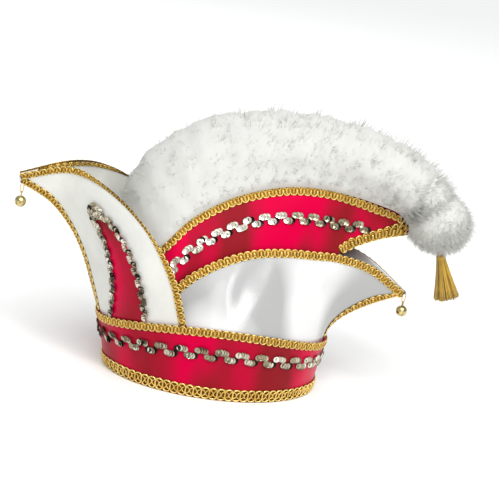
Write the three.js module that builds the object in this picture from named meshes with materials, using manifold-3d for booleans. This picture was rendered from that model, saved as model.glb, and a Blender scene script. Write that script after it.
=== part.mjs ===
// A carnival committee cap: a red headband that carries a tall open prow in front, white hull
// panels that run back into a short horn, and a red crest with a marabou ridge, a tail and a tassel.
// Millimetres, +Z up, the tall prow towards -X, the tassel towards +X, the wearer's left side at -Y.
import * as THREE from "three";
import { mergeVertices } from "three/addons/utils/BufferGeometryUtils.js";
import Module from "manifold-3d";

const wasm = await Module();
wasm.setup();

// Cloth walls and the clearances between layers.
const WALL = 1.6;
const LAYER_GAP = 0.6;
const TRIM_GAP = 0.9;

// Headband: an oval at the rim, longer at its top edge, which stands higher over the ears.
const BAND = {
  rimLong: 98.5,
  rimHalf: 80,
  topLong: 109.5,
  topHalf: 84,
  topShift: -3.5,
  endHeight: 50,
  earRise: 17.3,
};
const PROW_INSET = WALL + LAYER_GAP;
const HULL_INSET = { underProw: 2 * PROW_INSET, behindProw: PROW_INSET };
const TUCK = 0.45; // share of the band's height that the prow and the hull reach down behind it

// Prow: its base takes this much of a half turn each side of the front, in degrees.
const PROW_TURN = 73;
const PROW_FOLD = 0.8; // how far the round bow has sharpened into a V at the tip
// A row for each rise from base to tip: the stem in the middle plane, and the free edge beside it.
const PROW_EDGES = [
  { rise: 0.0, stemX: -110.3, stemZ: 50, edgeX: -32.3, edgeHalf: 78.2, edgeZ: 65.8 },
  { rise: 0.2, stemX: -120.5, stemZ: 73.6, edgeX: -51, edgeHalf: 83.4, edgeZ: 112.5 },
  { rise: 0.4, stemX: -132, stemZ: 100, edgeX: -82, edgeHalf: 76, edgeZ: 152.4 },
  { rise: 0.6, stemX: -147.5, stemZ: 124.8, edgeX: -117.4, edgeHalf: 49, edgeZ: 175.4 },
  { rise: 0.8, stemX: -169.5, stemZ: 146.2, edgeX: -153.8, edgeHalf: 13.5, edgeZ: 182.6 },
  { rise: 1.0, stemX: -199, stemZ: 161, edgeX: -200, edgeHalf: 3.6, edgeZ: 168 },
];

// Hull: its top edge by turn round the band, in degrees from the front to the rear horn's tip.
const STERN_HALF = 3.4;
const HULL_TOP = [
  { turn: 0, x: -100, half: 0, z: 62 },
  { turn: 30, x: -90, half: 42, z: 64 },
  { turn: 60, x: -60, half: 66, z: 86 },
  { turn: 75, x: -36, half: 64.5, z: 110.5 },
  { turn: 90, x: -9, half: 58.5, z: 127 },
  { turn: 105, x: 20, half: 52.5, z: 137.5 },
  { turn: 120, x: 50, half: 45, z: 140.5 },
  { turn: 135, x: 78, half: 36.5, z: 139.5 },
  { turn: 150, x: 104, half: 28.5, z: 137.5 },
  { turn: 165, x: 138, half: 15.8, z: 127 },
  { turn: 180, x: 175, half: STERN_HALF, z: 102 },
];
const HORN_FLARE = { from: 100, out: 0.5, up: 0.2 }; // the horn curves out like a trumpet past this turn

// Crest: a row for each station from the front, with its lower seam, its braid line and its ridge.
const RIDGE_HALF = 3;
const CREST_TUCK = { depth: 10, endsAt: 8 }; // it reaches down inside the hull as far as the notch
const CREST_COLUMNS = ["at", "lowX", "lowHalf", "lowZ", "braidX", "braidHalf", "braidZ", "ridgeX", "ridgeZ"];
const CREST = [
  [0, -97.3, 3, 63, -97.3, 3, 68, -97.3, 73],
  [1, -87.5, 39, 64, -90, 30, 96, -97, 128],
  [2, -58.5, 61.8, 86, -63, 53, 126.5, -83, 178],
  [3, -35.5, 60.8, 110.5, -40, 46, 153, -52, 207],
  [4, -9, 55.8, 127, -8, 37, 174, -14, 225],
  [5, 20, 49.8, 137.5, 22, 31.5, 186, 26, 232],
  [6, 50, 42.3, 140.5, 52, 27, 192.3, 60, 233],
  [7, 78, 33.8, 139.5, 83, 21, 192, 92, 229.5],
  [8, 102, 26.2, 138.5, 110, 15, 187, 120, 222],
  [9, 120, 20, 147, 133, 9.8, 180.5, 142, 212],
  [10, 141, 11.5, 154, 152, 6, 175, 160, 201],
  [11, 167, 4, 159.5, 168, 3.6, 166, 174, 187],
].map((row) => Object.fromEntries(CREST_COLUMNS.map((name, i) => [name, row[i]])));
const CREST_END = CREST.length - 1;
const NOTCH = 8; // station where the crest leaves the hull and overhangs the rear horn

// Gold braid and sequin trim.
const BRAID = { width: 8.6, rimWidth: 10.5, thickness: 1.4, least: 1.4 };
// The ends of the prow's braids by rise, and their share of a narrow panel.
const PROW_BRAID = { from: 0.03, to: 0.985, panelShare: 0.42 };
const HULL_BRAID = { fromTurn: 68, toTurn: 179.4 };
const STERN_BRAID = { from: 0.05, to: 0.84, lift: 1.4 * TRIM_GAP };
const SEQUINS = { width: 8, thickness: 1.1, zigzag: 3, bandWaves: 30, crestWaves: 13, insertWaves: 7 };
const INSERT_SEQUINS = { width: 6, zigzag: 0.9, frontTop: 0.5, rearTop: 0.57 };
const BAND_SEQUINS_AT = 0.65;
const CREST_SEQUINS_AT = 0.27;

// Red insert on each side of the prow, by rise: the share of the panel's width where it starts and ends.
const INSERT = { thickness: 0.8 };
const INSERT_EDGES = [
  { rise: 0.02, front: 0.38, rear: 0.725 },
  { rise: 0.2, front: 0.455, rear: 0.72 },
  { rise: 0.4, front: 0.51, rear: 0.72 },
  { rise: 0.5, front: 0.53, rear: 0.69 },
  { rise: 0.575, front: 0.55, rear: 0.6 },
];

// Marabou: how far the ridge's fluff stands off the crest, by station, and the ball of its tail.
const FLUFF = [
  { at: 0.7, depth: 12 },
  { at: 2, depth: 20 },
  { at: 3, depth: 28 },
  { at: 4, depth: 32 },
  { at: 6, depth: 33 },
  { at: 8, depth: 36 },
  { at: 10, depth: 40 },
  { at: 11, depth: 38 },
];
const FLUFF_FOOT = { at: 0.545, depth: 0.3 }; // where it starts on the crest's side, and how deep there
const TAIL = { x: 191, z: 182, radius: 36, half: 33 };
const LOCK = { radius: 12, length: 10, sunk: 6, sides: 3 };
const LOCK_STANDS = 0.6 * LOCK.length; // how far a leaning tuft stands out of the fluff under it
const LEAN_BACK = new THREE.Vector3(0.35, 0, -0.1);
const TAIL_LEAN = new THREE.Vector3(0.1, 0, -0.25);
const MARABOU_SPLIT = 170; // the ridge's length of boa ends here, and the tail's begins

// Tassel under the tail, bells under the two tips.
const TASSEL = { x: 199.5, z: 148, lean: 16, neckHalf: 4.6, neck: 12, skirtHalf: 11, length: 47, strands: 8 };
const BELL = { radius: 5.4, wall: 0.8, slot: 1.4, eye: 2.2, wire: 0.6, drop: 15 };
const THREAD = { half: 0.55, spread: 1.5 };

const COLOURS = {
  red: 0xc4123a,
  white: 0xf1f0ec,
  gold: 0xc99a3a,
  sequin: 0xcfc8ae,
  fluff: 0xf6f6f3,
  brass: 0xb9a25a,
};
const radians = THREE.MathUtils.degToRad;
const mix = THREE.MathUtils.lerp;
const ease = THREE.MathUtils.smoothstep;
const point = (x, y, z) => new THREE.Vector3(x, y, z);

// The value of a table's column where its key column is at, on a smooth curve through the rows.
function along(rows, key, column, at) {
  const last = rows.length - 1;
  let i = 0;
  while (i < last - 1 && at > rows[i + 1][key]) i++;
  const slope = (j) => {
    const before = rows[Math.max(j - 1, 0)];
    const after = rows[Math.min(j + 1, last)];
    return (after[column] - before[column]) / (after[key] - before[key]);
  };
  const step = rows[i + 1][key] - rows[i][key];
  const t = (at - rows[i][key]) / step;
  const rise = t * t * (3 - 2 * t);
  const bend = step * (slope(i) * t * (1 - t) ** 2 - slope(i + 1) * t * t * (1 - t));
  return mix(rows[i][column], rows[i + 1][column], rise) + bend;
}

// A point of the band's left face, set in by some depth, by turn from the front and share of its height.
function bandPoint(turn, share, inset = 0) {
  const angle = radians(turn);
  const long = mix(BAND.rimLong, BAND.topLong, share) - inset;
  const half = mix(BAND.rimHalf, BAND.topHalf, share) - inset;
  const height = BAND.endHeight + BAND.earRise * Math.sin(angle) ** 2;
  return point(BAND.topShift * share - long * Math.cos(angle), -half * Math.sin(angle), share * height);
}

// A point of the prow's left panel: across from stem 0 to free edge 1, rise from base 0 to tip 1.
// Below the base it follows the inside of the band.
function prowPoint(across, rise) {
  const seat = bandPoint(PROW_TURN * across, 1 + TUCK * Math.min(rise, 0), PROW_INSET);
  if (rise <= 0) return seat;
  const section = (at) => {
    const edge = (column) => along(PROW_EDGES, "rise", column, at);
    const round = (across * Math.PI) / 2;
    const reach = mix(Math.cos(round), 1 - across, PROW_FOLD * at);
    const spread = mix(Math.sin(round), across, PROW_FOLD * at);
    return point(
      mix(edge("edgeX"), edge("stemX"), reach),
      -edge("edgeHalf") * spread,
      mix(edge("stemZ"), edge("edgeZ"), across),
    );
  };
  return section(rise).addScaledVector(seat.sub(section(0)), (1 - rise) ** 3);
}

// A point of the hull's left panel: turn from the front, rise from the band 0 to the top edge 1.
function hullPoint(turn, rise) {
  const behind = mix(HULL_INSET.underProw, HULL_INSET.behindProw, ease(turn, PROW_TURN + 2, PROW_TURN + 14));
  const inset = behind + STERN_HALF * 0.35 * ease(turn, 140, 165);
  const seat = bandPoint(turn, 1 + TUCK * Math.min(rise, 0), inset);
  seat.y -= STERN_HALF * ease(turn, 150, 180);
  if (rise <= 0) return seat;
  const flare = ease(turn, HORN_FLARE.from, 180);
  const top = (column) => along(HULL_TOP, "turn", column, turn);
  return point(
    mix(seat.x, top("x"), rise ** (1 + HORN_FLARE.out * flare)),
    mix(seat.y, -top("half"), rise),
    mix(seat.z, top("z"), rise ** (1 - HORN_FLARE.up * flare)),
  );
}

// A point of the crest's left side: station from the front, rise from the seam 0 over the braid line 0.5
// to the ridge 1, on a parabola through the three. Below the seam it hangs inside the hull.
function crestPoint(at, rise) {
  const value = (column) => along(CREST, "at", column, at);
  const r = Math.max(rise, 0);
  const low = (1 - r) * (1 - 2 * r);
  const middle = 4 * r * (1 - r);
  const high = r * (2 * r - 1);
  const tuck = CREST_TUCK.depth * (1 - ease(at, CREST_TUCK.endsAt - 1, CREST_TUCK.endsAt));
  return point(
    low * value("lowX") + middle * value("braidX") + high * value("ridgeX"),
    -(low * value("lowHalf") + middle * value("braidHalf") + high * RIDGE_HALF),
    low * value("lowZ") + middle * value("braidZ") + high * value("ridgeZ") + tuck * Math.min(rise, 0),
  );
}

const spread = (from, to, steps) => Array.from({ length: steps + 1 }, (_, i) => mix(from, to, i / steps));
const mirrored = (p) => point(p.x, -p.y, p.z);
const mirroredGrid = (grid) => grid.map((row) => row.map(mirrored).reverse());

// A grid of points moved along its own surface normals, rows by columns.
function offsetGrid(grid, distance, closed = false) {
  const count = grid[0].length;
  const beside = (c) => (closed ? (c + count) % count : THREE.MathUtils.clamp(c, 0, count - 1));
  return grid.map((row, r) =>
    row.map((p, c) => {
      const next = grid[Math.min(r + 1, grid.length - 1)][c];
      const before = grid[Math.max(r - 1, 0)][c];
      const sideways = row[beside(c + 1)].clone().sub(row[beside(c - 1)]);
      const normal = sideways.cross(next.clone().sub(before)).normalize();
      return p.clone().addScaledVector(normal, distance);
    }),
  );
}

// A closed solid between an outer grid that faces out and an inner grid behind it.
function wallBetween(outer, inner, closed = false) {
  const rows = outer.length;
  const count = outer[0].length;
  const corners = [...outer.flat(), ...inner.flat()];
  const out = (r, c) => r * count + (c % count);
  const back = (r, c) => rows * count + out(r, c);
  const index = [];
  const quad = (a, b, c, d) => index.push(a, b, c, a, c, d);
  const columns = closed ? count : count - 1;
  for (let c = 0; c < columns; c++) {
    for (let r = 0; r < rows - 1; r++) {
      quad(out(r, c), out(r, c + 1), out(r + 1, c + 1), out(r + 1, c));
      quad(back(r, c + 1), back(r, c), back(r + 1, c), back(r + 1, c + 1));
    }
    quad(out(0, c + 1), out(0, c), back(0, c), back(0, c + 1));
    quad(out(rows - 1, c), out(rows - 1, c + 1), back(rows - 1, c + 1), back(rows - 1, c));
  }
  for (let r = 0; r < rows - 1 && !closed; r++) {
    quad(out(r, 0), out(r + 1, 0), back(r + 1, 0), back(r, 0));
    quad(out(r + 1, count - 1), out(r, count - 1), back(r, count - 1), back(r + 1, count - 1));
  }
  return new THREE.BufferGeometry().setFromPoints(corners).setIndex(index);
}

// A strip of trim laid on a surface along a path of its two parameters. The strip lies between two shares
// of its width to the side of the path, may zigzag across it, and stands off the surface by lift.
function stripOn(surface, path, options) {
  const { steps, width, from = -0.5, to = 0.5, lift = TRIM_GAP, thickness, zigzag = 0 } = options;
  const tiny = 1e-3;
  const grids = [[[], []], [[], []]];
  spread(0, 1, steps).forEach((s, i) => {
    const [u, v] = path(s);
    const alongU = surface(u + tiny, v).sub(surface(u - tiny, v)).divideScalar(2 * tiny);
    const alongV = surface(u, v + tiny).sub(surface(u, v - tiny)).divideScalar(2 * tiny);
    const normal = alongU.clone().cross(alongV).normalize();
    const [u2, v2] = path(Math.min(s + tiny, 1));
    const [u1, v1] = path(Math.max(s - tiny, 0));
    const heading = alongU.clone().multiplyScalar(u2 - u1).addScaledVector(alongV, v2 - v1);
    const side = normal.clone().cross(heading).normalize();
    // The step in the surface's parameters that moves one millimetre to the side.
    const uu = alongU.dot(alongU);
    const vv = alongV.dot(alongV);
    const uv = alongU.dot(alongV);
    const du = (side.dot(alongU) * vv - side.dot(alongV) * uv) / (uu * vv - uv * uv);
    const dv = (side.dot(alongV) * uu - side.dot(alongU) * uv) / (uu * vv - uv * uv);
    const wide = typeof width === "function" ? width(s) : width;
    const sway = i % 2 ? -zigzag : zigzag;
    [from, to].forEach((share, row) => {
      const shift = wide * share + sway;
      const foot = surface(u + du * shift, v + dv * shift);
      grids[0][row].push(foot.clone().addScaledVector(normal, lift + thickness));
      grids[1][row].push(foot.addScaledVector(normal, lift));
    });
  });
  return grids;
}

// Solids for the boolean cuts and joins, made from closed geometries.
function solid(geometry) {
  const bare = new THREE.BufferGeometry().setAttribute("position", geometry.getAttribute("position"));
  bare.setIndex(geometry.index);
  const merged = mergeVertices(bare, 1e-3);
  return new wasm.Manifold(
    new wasm.Mesh({
      numProp: 3,
      vertProperties: new Float32Array(merged.attributes.position.array),
      triVerts: new Uint32Array(merged.index.array),
    }),
  );
}

function geometryOf(manifold) {
  const { vertProperties, triVerts } = manifold.getMesh();
  const geometry = new THREE.BufferGeometry();
  geometry.setAttribute("position", new THREE.BufferAttribute(vertProperties, 3));
  return geometry.setIndex(new THREE.BufferAttribute(triVerts, 1));
}

// The largest body of a solid, without the crumbs that a cut leaves, settled to single precision.
const largest = (manifold) => manifold.decompose().reduce((a, b) => (a.volume() > b.volume() ? a : b));
const mainBody = (manifold) => largest(solid(geometryOf(largest(manifold))));

// A closed solid lofted through loops of points, with a fan over each end.
function loft(loops) {
  const count = loops[0].length;
  const corners = loops.flat();
  const index = [];
  const centre = (loop) => loop.reduce((sum, p) => sum.add(p), point(0, 0, 0)).divideScalar(count);
  for (let l = 0; l < loops.length - 1; l++) {
    for (let i = 0; i < count; i++) {
      const a = l * count + i;
      const b = l * count + ((i + 1) % count);
      index.push(a, a + count, b, b, a + count, b + count);
    }
  }
  const last = loops.length - 1;
  corners.push(centre(loops[0]), centre(loops[last]));
  for (let i = 0; i < count; i++) {
    const j = (i + 1) % count;
    index.push(loops.length * count, i, j);
    index.push(loops.length * count + 1, last * count + j, last * count + i);
  }
  return new THREE.BufferGeometry().setFromPoints(corners).setIndex(index);
}

const cap = new THREE.Group();

function add(name, geometry, colour, roughness = 0.8, metalness = 0) {
  const flat = geometry.index ? geometry.toNonIndexed() : geometry;
  flat.computeVertexNormals();
  const material = new THREE.MeshStandardMaterial({ color: colour, roughness, metalness });
  const mesh = new THREE.Mesh(flat, material);
  mesh.name = name;
  cap.add(mesh);
}

// The same piece on the wearer's left side and, mirrored, on the right.
function addPair(name, [outer, inner], colour, roughness, metalness) {
  add(`${name}_left`, wallBetween(outer, inner), colour, roughness, metalness);
  add(`${name}_right`, wallBetween(mirroredGrid(outer), mirroredGrid(inner)), colour, roughness, metalness);
}

// A ring of points round the cap: a side function from front to rear on the left, and back on the right.
function ring(side, turns) {
  const left = turns.map(side);
  const right = left.map(mirrored).reverse();
  const meets = (p) => Math.abs(p.y) < 1e-6;
  return [...left, ...right.filter((p) => !meets(p))];
}

function addHeadband() {
  const turns = spread(0, 180, 30);
  const outer = [0, 1].map((share) => ring((turn) => bandPoint(turn, share), turns));
  const inner = [0, 1].map((share) => ring((turn) => bandPoint(turn, share, WALL), turns));
  add("headband", wallBetween(outer, inner, true), COLOURS.red, 0.45);
  // Trim right round the band, on its own left face and the mirrored right one.
  const around = (turn, share) => {
    const wrapped = ((turn % 360) + 360) % 360;
    return wrapped <= 180 ? bandPoint(wrapped, share) : mirrored(bandPoint(360 - wrapped, share));
  };
  const ringStrip = (share, options) => {
    const [outerGrid, innerGrid] = stripOn(around, (s) => [360 * s, share], options);
    [outerGrid, innerGrid].forEach((grid) => grid.forEach((row) => row.pop()));
    return wallBetween(outerGrid, innerGrid, true);
  };
  const rim = { steps: 40, width: BRAID.rimWidth, from: 0.12, to: 1.12, thickness: BRAID.thickness };
  const top = { steps: 40, width: BRAID.width, from: -1, to: 0, thickness: BRAID.thickness };
  const { width, thickness, zigzag, bandWaves } = SEQUINS;
  add("band_braid_rim", ringStrip(0, rim), COLOURS.gold, 0.35, 0.8);
  add("band_braid_top", ringStrip(1, top), COLOURS.gold, 0.35, 0.8);
  const wavy = { steps: bandWaves * 2, width, thickness, zigzag };
  add("band_sequins", ringStrip(BAND_SEQUINS_AT, wavy), COLOURS.sequin, 0.25, 0.6);
}

function addProw() {
  const rises = [-1, ...spread(0, 1, 14)];
  const halves = spread(0, 1, 7);
  const row = (rise) => {
    const left = halves.map((across) => prowPoint(across, rise));
    return [...left.slice(1).map(mirrored).reverse(), ...left];
  };
  const outer = rises.map(row);
  add("prow", wallBetween(outer, offsetGrid(outer, -WALL)), COLOURS.white, 0.5);

  const panelWidth = (rise) => prowPoint(1, rise).distanceTo(prowPoint(0, rise));
  const braidRise = (s) => mix(PROW_BRAID.from, PROW_BRAID.to, s);
  const width = (s) => {
    const narrow = PROW_BRAID.panelShare * panelWidth(braidRise(s)) - 0.5;
    return THREE.MathUtils.clamp(narrow, BRAID.least, BRAID.width);
  };
  const braid = (from, to) => ({ steps: 18, width, from, to, thickness: BRAID.thickness });
  const stem = stripOn(prowPoint, (s) => [0, braidRise(s)], braid(-1.04, -0.04));
  const edge = stripOn(prowPoint, (s) => [1, braidRise(s)], braid(0, 1));
  addPair("prow_stem_braid", stem, COLOURS.gold, 0.35, 0.8);
  addPair("prow_edge_braid", edge, COLOURS.gold, 0.35, 0.8);

  const insertEdge = (column, rise) => along(INSERT_EDGES, "rise", column, rise);
  const first = INSERT_EDGES[0].rise;
  const last = INSERT_EDGES[INSERT_EDGES.length - 1].rise;
  const patch = spread(first, last, 9).map((rise) => {
    const across = spread(insertEdge("front", rise), insertEdge("rear", rise), 4);
    return across.map((share) => prowPoint(share, rise));
  });
  const raised = [offsetGrid(patch, TRIM_GAP + INSERT.thickness), offsetGrid(patch, TRIM_GAP)];
  addPair("prow_insert", raised, COLOURS.red, 0.45);

  const trim = {
    steps: SEQUINS.insertWaves * 2,
    width: INSERT_SEQUINS.width,
    thickness: SEQUINS.thickness,
    lift: 2 * TRIM_GAP + INSERT.thickness,
    zigzag: INSERT_SEQUINS.zigzag,
  };
  const runAlong = (column, top) => (s) => {
    const rise = mix(first + 0.02, top, s);
    return [insertEdge(column, rise), rise];
  };
  const front = stripOn(prowPoint, runAlong("front", INSERT_SEQUINS.frontTop), trim);
  const rear = stripOn(prowPoint, runAlong("rear", INSERT_SEQUINS.rearTop), trim);
  addPair("prow_sequins_front", front, COLOURS.sequin, 0.25, 0.6);
  addPair("prow_sequins_rear", rear, COLOURS.sequin, 0.25, 0.6);
}

function addHull() {
  const turns = [...spread(0, 90, 6), ...spread(90, 180, 13).slice(1)];
  const rises = [-1, 0, 0.12, 0.27, 0.5, 0.75, 1];
  const outer = rises.map((rise) => ring((turn) => hullPoint(turn, rise), turns));
  add("hull", wallBetween(outer, offsetGrid(outer, -WALL, true), true), COLOURS.white, 0.35);

  const top = { steps: 22, width: BRAID.width, from: -1, to: 0, thickness: BRAID.thickness };
  const topPath = (s) => [mix(HULL_BRAID.fromTurn, HULL_BRAID.toTurn, s), 1];
  addPair("hull_braid", stripOn(hullPoint, topPath, top), COLOURS.gold, 0.35, 0.8);
  const stern = { ...top, steps: 10, from: 0, to: 1, lift: STERN_BRAID.lift };
  const sternPath = (s) => [180, mix(STERN_BRAID.from, STERN_BRAID.to, s)];
  addPair("stern_braid", stripOn(hullPoint, sternPath, stern), COLOURS.gold, 0.35, 0.8);
}

// The loops of points over the crest at each station, from the left seam over the ridge to the right one.
function crestLoops(stations, rises, distance) {
  const columns = stations.map((at) => {
    const left = rises.map((rise) => crestPoint(at, rise));
    return [...left, ...left.map(mirrored).reverse()];
  });
  const grid = columns[0].map((_, r) => columns.map((column) => column[r]));
  return offsetGrid(grid, distance);
}
const columnsOf = (grid) => grid[0].map((_, c) => grid.map((row) => row[c]));

const CREST_STATIONS = [...spread(0, 2, 5), ...spread(2, CREST_END, 16).slice(1)];
const CREST_RISES = [-1, 0, 0.25, 0.5, 0.75, 1];

// Braids of the crest, which also make room for themselves in the marabou.
const crestPath = (from, to, rise) => (s) => [mix(from, to, s), rise];
const CREST_BRAIDS = [
  { name: "crest_braid", from: 1.7, to: 10.35, rise: 0.5, low: -0.5, high: 0.5, steps: 26 },
  { name: "crest_tip_braid", from: 8.25, to: 10.6, rise: 0.002, low: 0.04, high: 1.04, steps: 10 },
];
const crestBraid = (braid, steps, extra, lift, thickness) =>
  stripOn(crestPoint, crestPath(braid.from - extra, braid.to + extra, braid.rise), {
    steps,
    width: (s) => Math.min(BRAID.width, mix(BRAID.width * 3, BRAID.width * 0.42, s)),
    from: braid.low - extra,
    to: braid.high + extra,
    lift,
    thickness,
  });

function addCrest() {
  const outer = crestLoops(CREST_STATIONS, CREST_RISES, 0);
  add("crest", wallBetween(outer, offsetGrid(outer, -WALL)), COLOURS.red, 0.45);
  for (const braid of CREST_BRAIDS) {
    const strip = crestBraid(braid, braid.steps, 0, TRIM_GAP, BRAID.thickness);
    addPair(braid.name, strip, COLOURS.gold, 0.35, 0.8);
  }
  const trim = {
    steps: SEQUINS.crestWaves * 2,
    width: (s) => SEQUINS.width * mix(1, 0.6, ease(s, 0.8, 1)),
    thickness: SEQUINS.thickness,
    zigzag: SEQUINS.zigzag * 0.7,
  };
  const path = (s) => [mix(1.7, 8.9, s), mix(CREST_SEQUINS_AT, CREST_SEQUINS_AT * 0.92, s)];
  addPair("crest_sequins", stripOn(crestPoint, path, trim), COLOURS.sequin, 0.25, 0.6);

  // The red panel that closes the overhang from below, between the two seams behind the notch.
  const reach = spread(NOTCH - 0.1, CREST_END - 0.4, 8);
  const inside = WALL + LAYER_GAP + 0.4;
  const under = spread(-1, 1, 4).map((side) =>
    reach.map((at) => {
      const seam = crestPoint(at, 0);
      return point(seam.x, (Math.abs(seam.y) - inside) * side, seam.z + inside);
    }),
  );
  add("crest_underside", wallBetween(offsetGrid(under, WALL), under), COLOURS.red, 0.45);
}

// A tuft of marabou: a short cone that leans back along the boa, its foot sunk in the fluff.
function lock(foot, direction) {
  const cone = new THREE.ConeGeometry(LOCK.radius, LOCK.length + LOCK.sunk, LOCK.sides);
  cone.translate(0, (LOCK.length + LOCK.sunk) / 2 - LOCK.sunk, 0);
  cone.applyQuaternion(new THREE.Quaternion().setFromUnitVectors(point(0, 1, 0), direction));
  return solid(cone.translate(foot.x, foot.y, foot.z));
}

// A repeatable share between 0 and 1 for the small differences between tufts.
const chance = (n) => {
  const x = Math.sin(n * 127.1) * 43758.5453;
  return x - Math.floor(x);
};

function tasselDirection() {
  const lean = radians(TASSEL.lean);
  return point(Math.sin(lean), 0, -Math.cos(lean));
}

// The tassel's neck and skirt as one turned core, its strands standing proud of it.
function tasselSolid(extra = 0) {
  const { neckHalf, neck, skirtHalf, length } = TASSEL;
  const core = [
    [0, 0],
    [neckHalf * 0.7, 0],
    [neckHalf, neck * 0.25],
    [neckHalf * 0.8, neck],
    [skirtHalf * 0.8, length],
    [0, length],
  ].map(([r, y]) => new THREE.Vector2(r ? r + extra : 0, y));
  let made = solid(new THREE.LatheGeometry(core, 10));
  for (let i = 0; i < TASSEL.strands; i++) {
    const angle = (2 * Math.PI * i) / TASSEL.strands;
    const top = point(Math.cos(angle), 0, Math.sin(angle)).multiplyScalar(neckHalf * 0.72);
    const foot = point(Math.cos(angle), 0, Math.sin(angle)).multiplyScalar(skirtHalf * 0.84);
    top.y = neck * 0.8;
    foot.y = length - 1.5 * chance(i + 5);
    const strand = new THREE.CylinderGeometry(2.6 + extra, 1.6 + extra, foot.distanceTo(top), 5);
    const heading = foot.clone().sub(top).normalize();
    strand.applyQuaternion(new THREE.Quaternion().setFromUnitVectors(point(0, 1, 0), heading));
    const middle = foot.add(top).multiplyScalar(0.5);
    made = made.add(solid(strand.translate(middle.x, middle.y, middle.z)));
  }
  const turn = new THREE.Quaternion().setFromUnitVectors(point(0, 1, 0), tasselDirection());
  return solid(geometryOf(made).applyQuaternion(turn).translate(TASSEL.x, 0, TASSEL.z));
}

function addMarabou() {
  const stations = spread(FLUFF[0].at, CREST_END, 12);
  const rises = spread(FLUFF_FOOT.at, 1, 3);
  const bare = crestLoops(stations, rises, 0);
  const unit = crestLoops(stations, rises, 1);
  const standOff = (at, rise) => {
    const share = ease(rise, FLUFF_FOOT.at, 1);
    return (along(FLUFF, "at", "depth", at) - LOCK_STANDS) * mix(FLUFF_FOOT.depth, 1, share);
  };
  const bothRises = [...rises, ...rises.slice().reverse()];
  const normals = unit.map((row, r) => row.map((p, c) => p.clone().sub(bare[r][c])));
  const skin = bare.map((row, r) =>
    row.map((p, c) => p.clone().addScaledVector(normals[r][c], standOff(stations[c], bothRises[r]))),
  );
  let fluff = solid(loft(columnsOf(skin)));
  const core = point(TAIL.radius, TAIL.half, TAIL.radius).subScalar(LOCK_STANDS);
  const middle = point(TAIL.x, 0, TAIL.z);
  const ball = new THREE.SphereGeometry(1, 12, 8).scale(core.x, core.y, core.z);
  fluff = fluff.add(solid(ball.translate(middle.x, middle.y, middle.z)));

  let tuft = 0;
  for (let r = 1; r < skin.length - 1; r++) {
    for (let c = r % 2; c < stations.length; c += 2) {
      tuft += 1;
      const sway = point(chance(tuft) - 0.5, chance(tuft + 0.3) - 0.5, chance(tuft + 0.7) - 0.5);
      const heading = normals[r][c].clone().add(LEAN_BACK).addScaledVector(sway, 0.5).normalize();
      fluff = fluff.add(lock(skin[r][c], heading));
    }
  }
  const rings = 4;
  for (let i = 1; i < rings; i++) {
    const latitude = (Math.PI * i) / rings - Math.PI / 2;
    const around = Math.round(8 * Math.cos(latitude)) + 1;
    for (let j = 0; j < around; j++) {
      tuft += 1;
      const longitude = (2 * Math.PI * (j + 0.5 * (i % 2))) / around;
      const flat = Math.cos(latitude);
      const out = point(flat * Math.cos(longitude), Math.sin(latitude), flat * Math.sin(longitude));
      const foot = out.clone().multiply(core).add(middle);
      fluff = fluff.add(lock(foot, out.add(TAIL_LEAN).normalize()));
    }
  }

  // Room for the crest, its braids and the tassel.
  const swollen = crestLoops(spread(0.3, CREST_END, 13), [0.1, 0.5, 0.75, 1], 4 * LAYER_GAP);
  fluff = fluff.subtract(solid(loft(columnsOf(swollen))));
  for (const braid of CREST_BRAIDS) {
    const [outer, inner] = crestBraid(braid, braid.steps / 2, 0.14, 0.2, 14);
    fluff = fluff.subtract(solid(wallBetween(outer, inner)));
    fluff = fluff.subtract(solid(wallBetween(mirroredGrid(outer), mirroredGrid(inner))));
  }
  fluff = fluff.subtract(tasselSolid(LAYER_GAP));

  const beyond = (side) => fluff.trimByPlane([side, 0, 0], side * MARABOU_SPLIT + LAYER_GAP / 2);
  add("marabou_ridge", geometryOf(mainBody(beyond(-1))), COLOURS.fluff, 0.95);
  add("marabou_tail", geometryOf(mainBody(beyond(1))), COLOURS.fluff, 0.95);
  add("tassel", geometryOf(tasselSolid()), COLOURS.gold, 0.5, 0.4);
}

// A round bell with a slot across its mouth and an eye on top, and the thread loop it hangs by.
function addBell(name, tip) {
  const centre = point(tip.x, 0, tip.z - BELL.drop);
  const shell = solid(new THREE.SphereGeometry(BELL.radius, 10, 6));
  const hollow = solid(new THREE.SphereGeometry(BELL.radius - BELL.wall, 7, 5));
  const mouth = new THREE.BoxGeometry(BELL.radius * 3, BELL.slot, BELL.radius);
  const slot = solid(mouth.translate(0, 0, -BELL.radius * 0.75));
  const eye = new THREE.TorusGeometry(BELL.eye, BELL.wire, 5, 8).rotateY(Math.PI / 2);
  const eyeHeight = BELL.radius + BELL.eye - BELL.wire;
  const ring = solid(eye.translate(0, 0, eyeHeight)).subtract(hollow);
  const bell = shell.subtract(hollow).subtract(slot).add(ring);
  add(`bell_${name}`, geometryOf(bell).translate(centre.x, 0, centre.z), COLOURS.brass, 0.25, 0.9);

  const bottom = centre.z + eyeHeight + BELL.eye - BELL.wire - THREAD.half - LAYER_GAP;
  const top = tip.z - LAYER_GAP;
  const route = new THREE.CatmullRomCurve3([
    point(tip.x - THREAD.spread, 0, top),
    point(tip.x - THREAD.spread, 0, mix(bottom, top, 0.4)),
    point(tip.x, 0, bottom),
    point(tip.x + THREAD.spread, 0, mix(bottom, top, 0.4)),
    point(tip.x + THREAD.spread, 0, top),
  ]);
  const section = new THREE.Shape().absarc(0, 0, THREAD.half, 0, 2 * Math.PI);
  const thread = new THREE.ExtrudeGeometry(section, { steps: 6, curveSegments: 3, extrudePath: route });
  add(`bell_thread_${name}`, geometryOf(solid(thread)), COLOURS.gold, 0.7);
}

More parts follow.
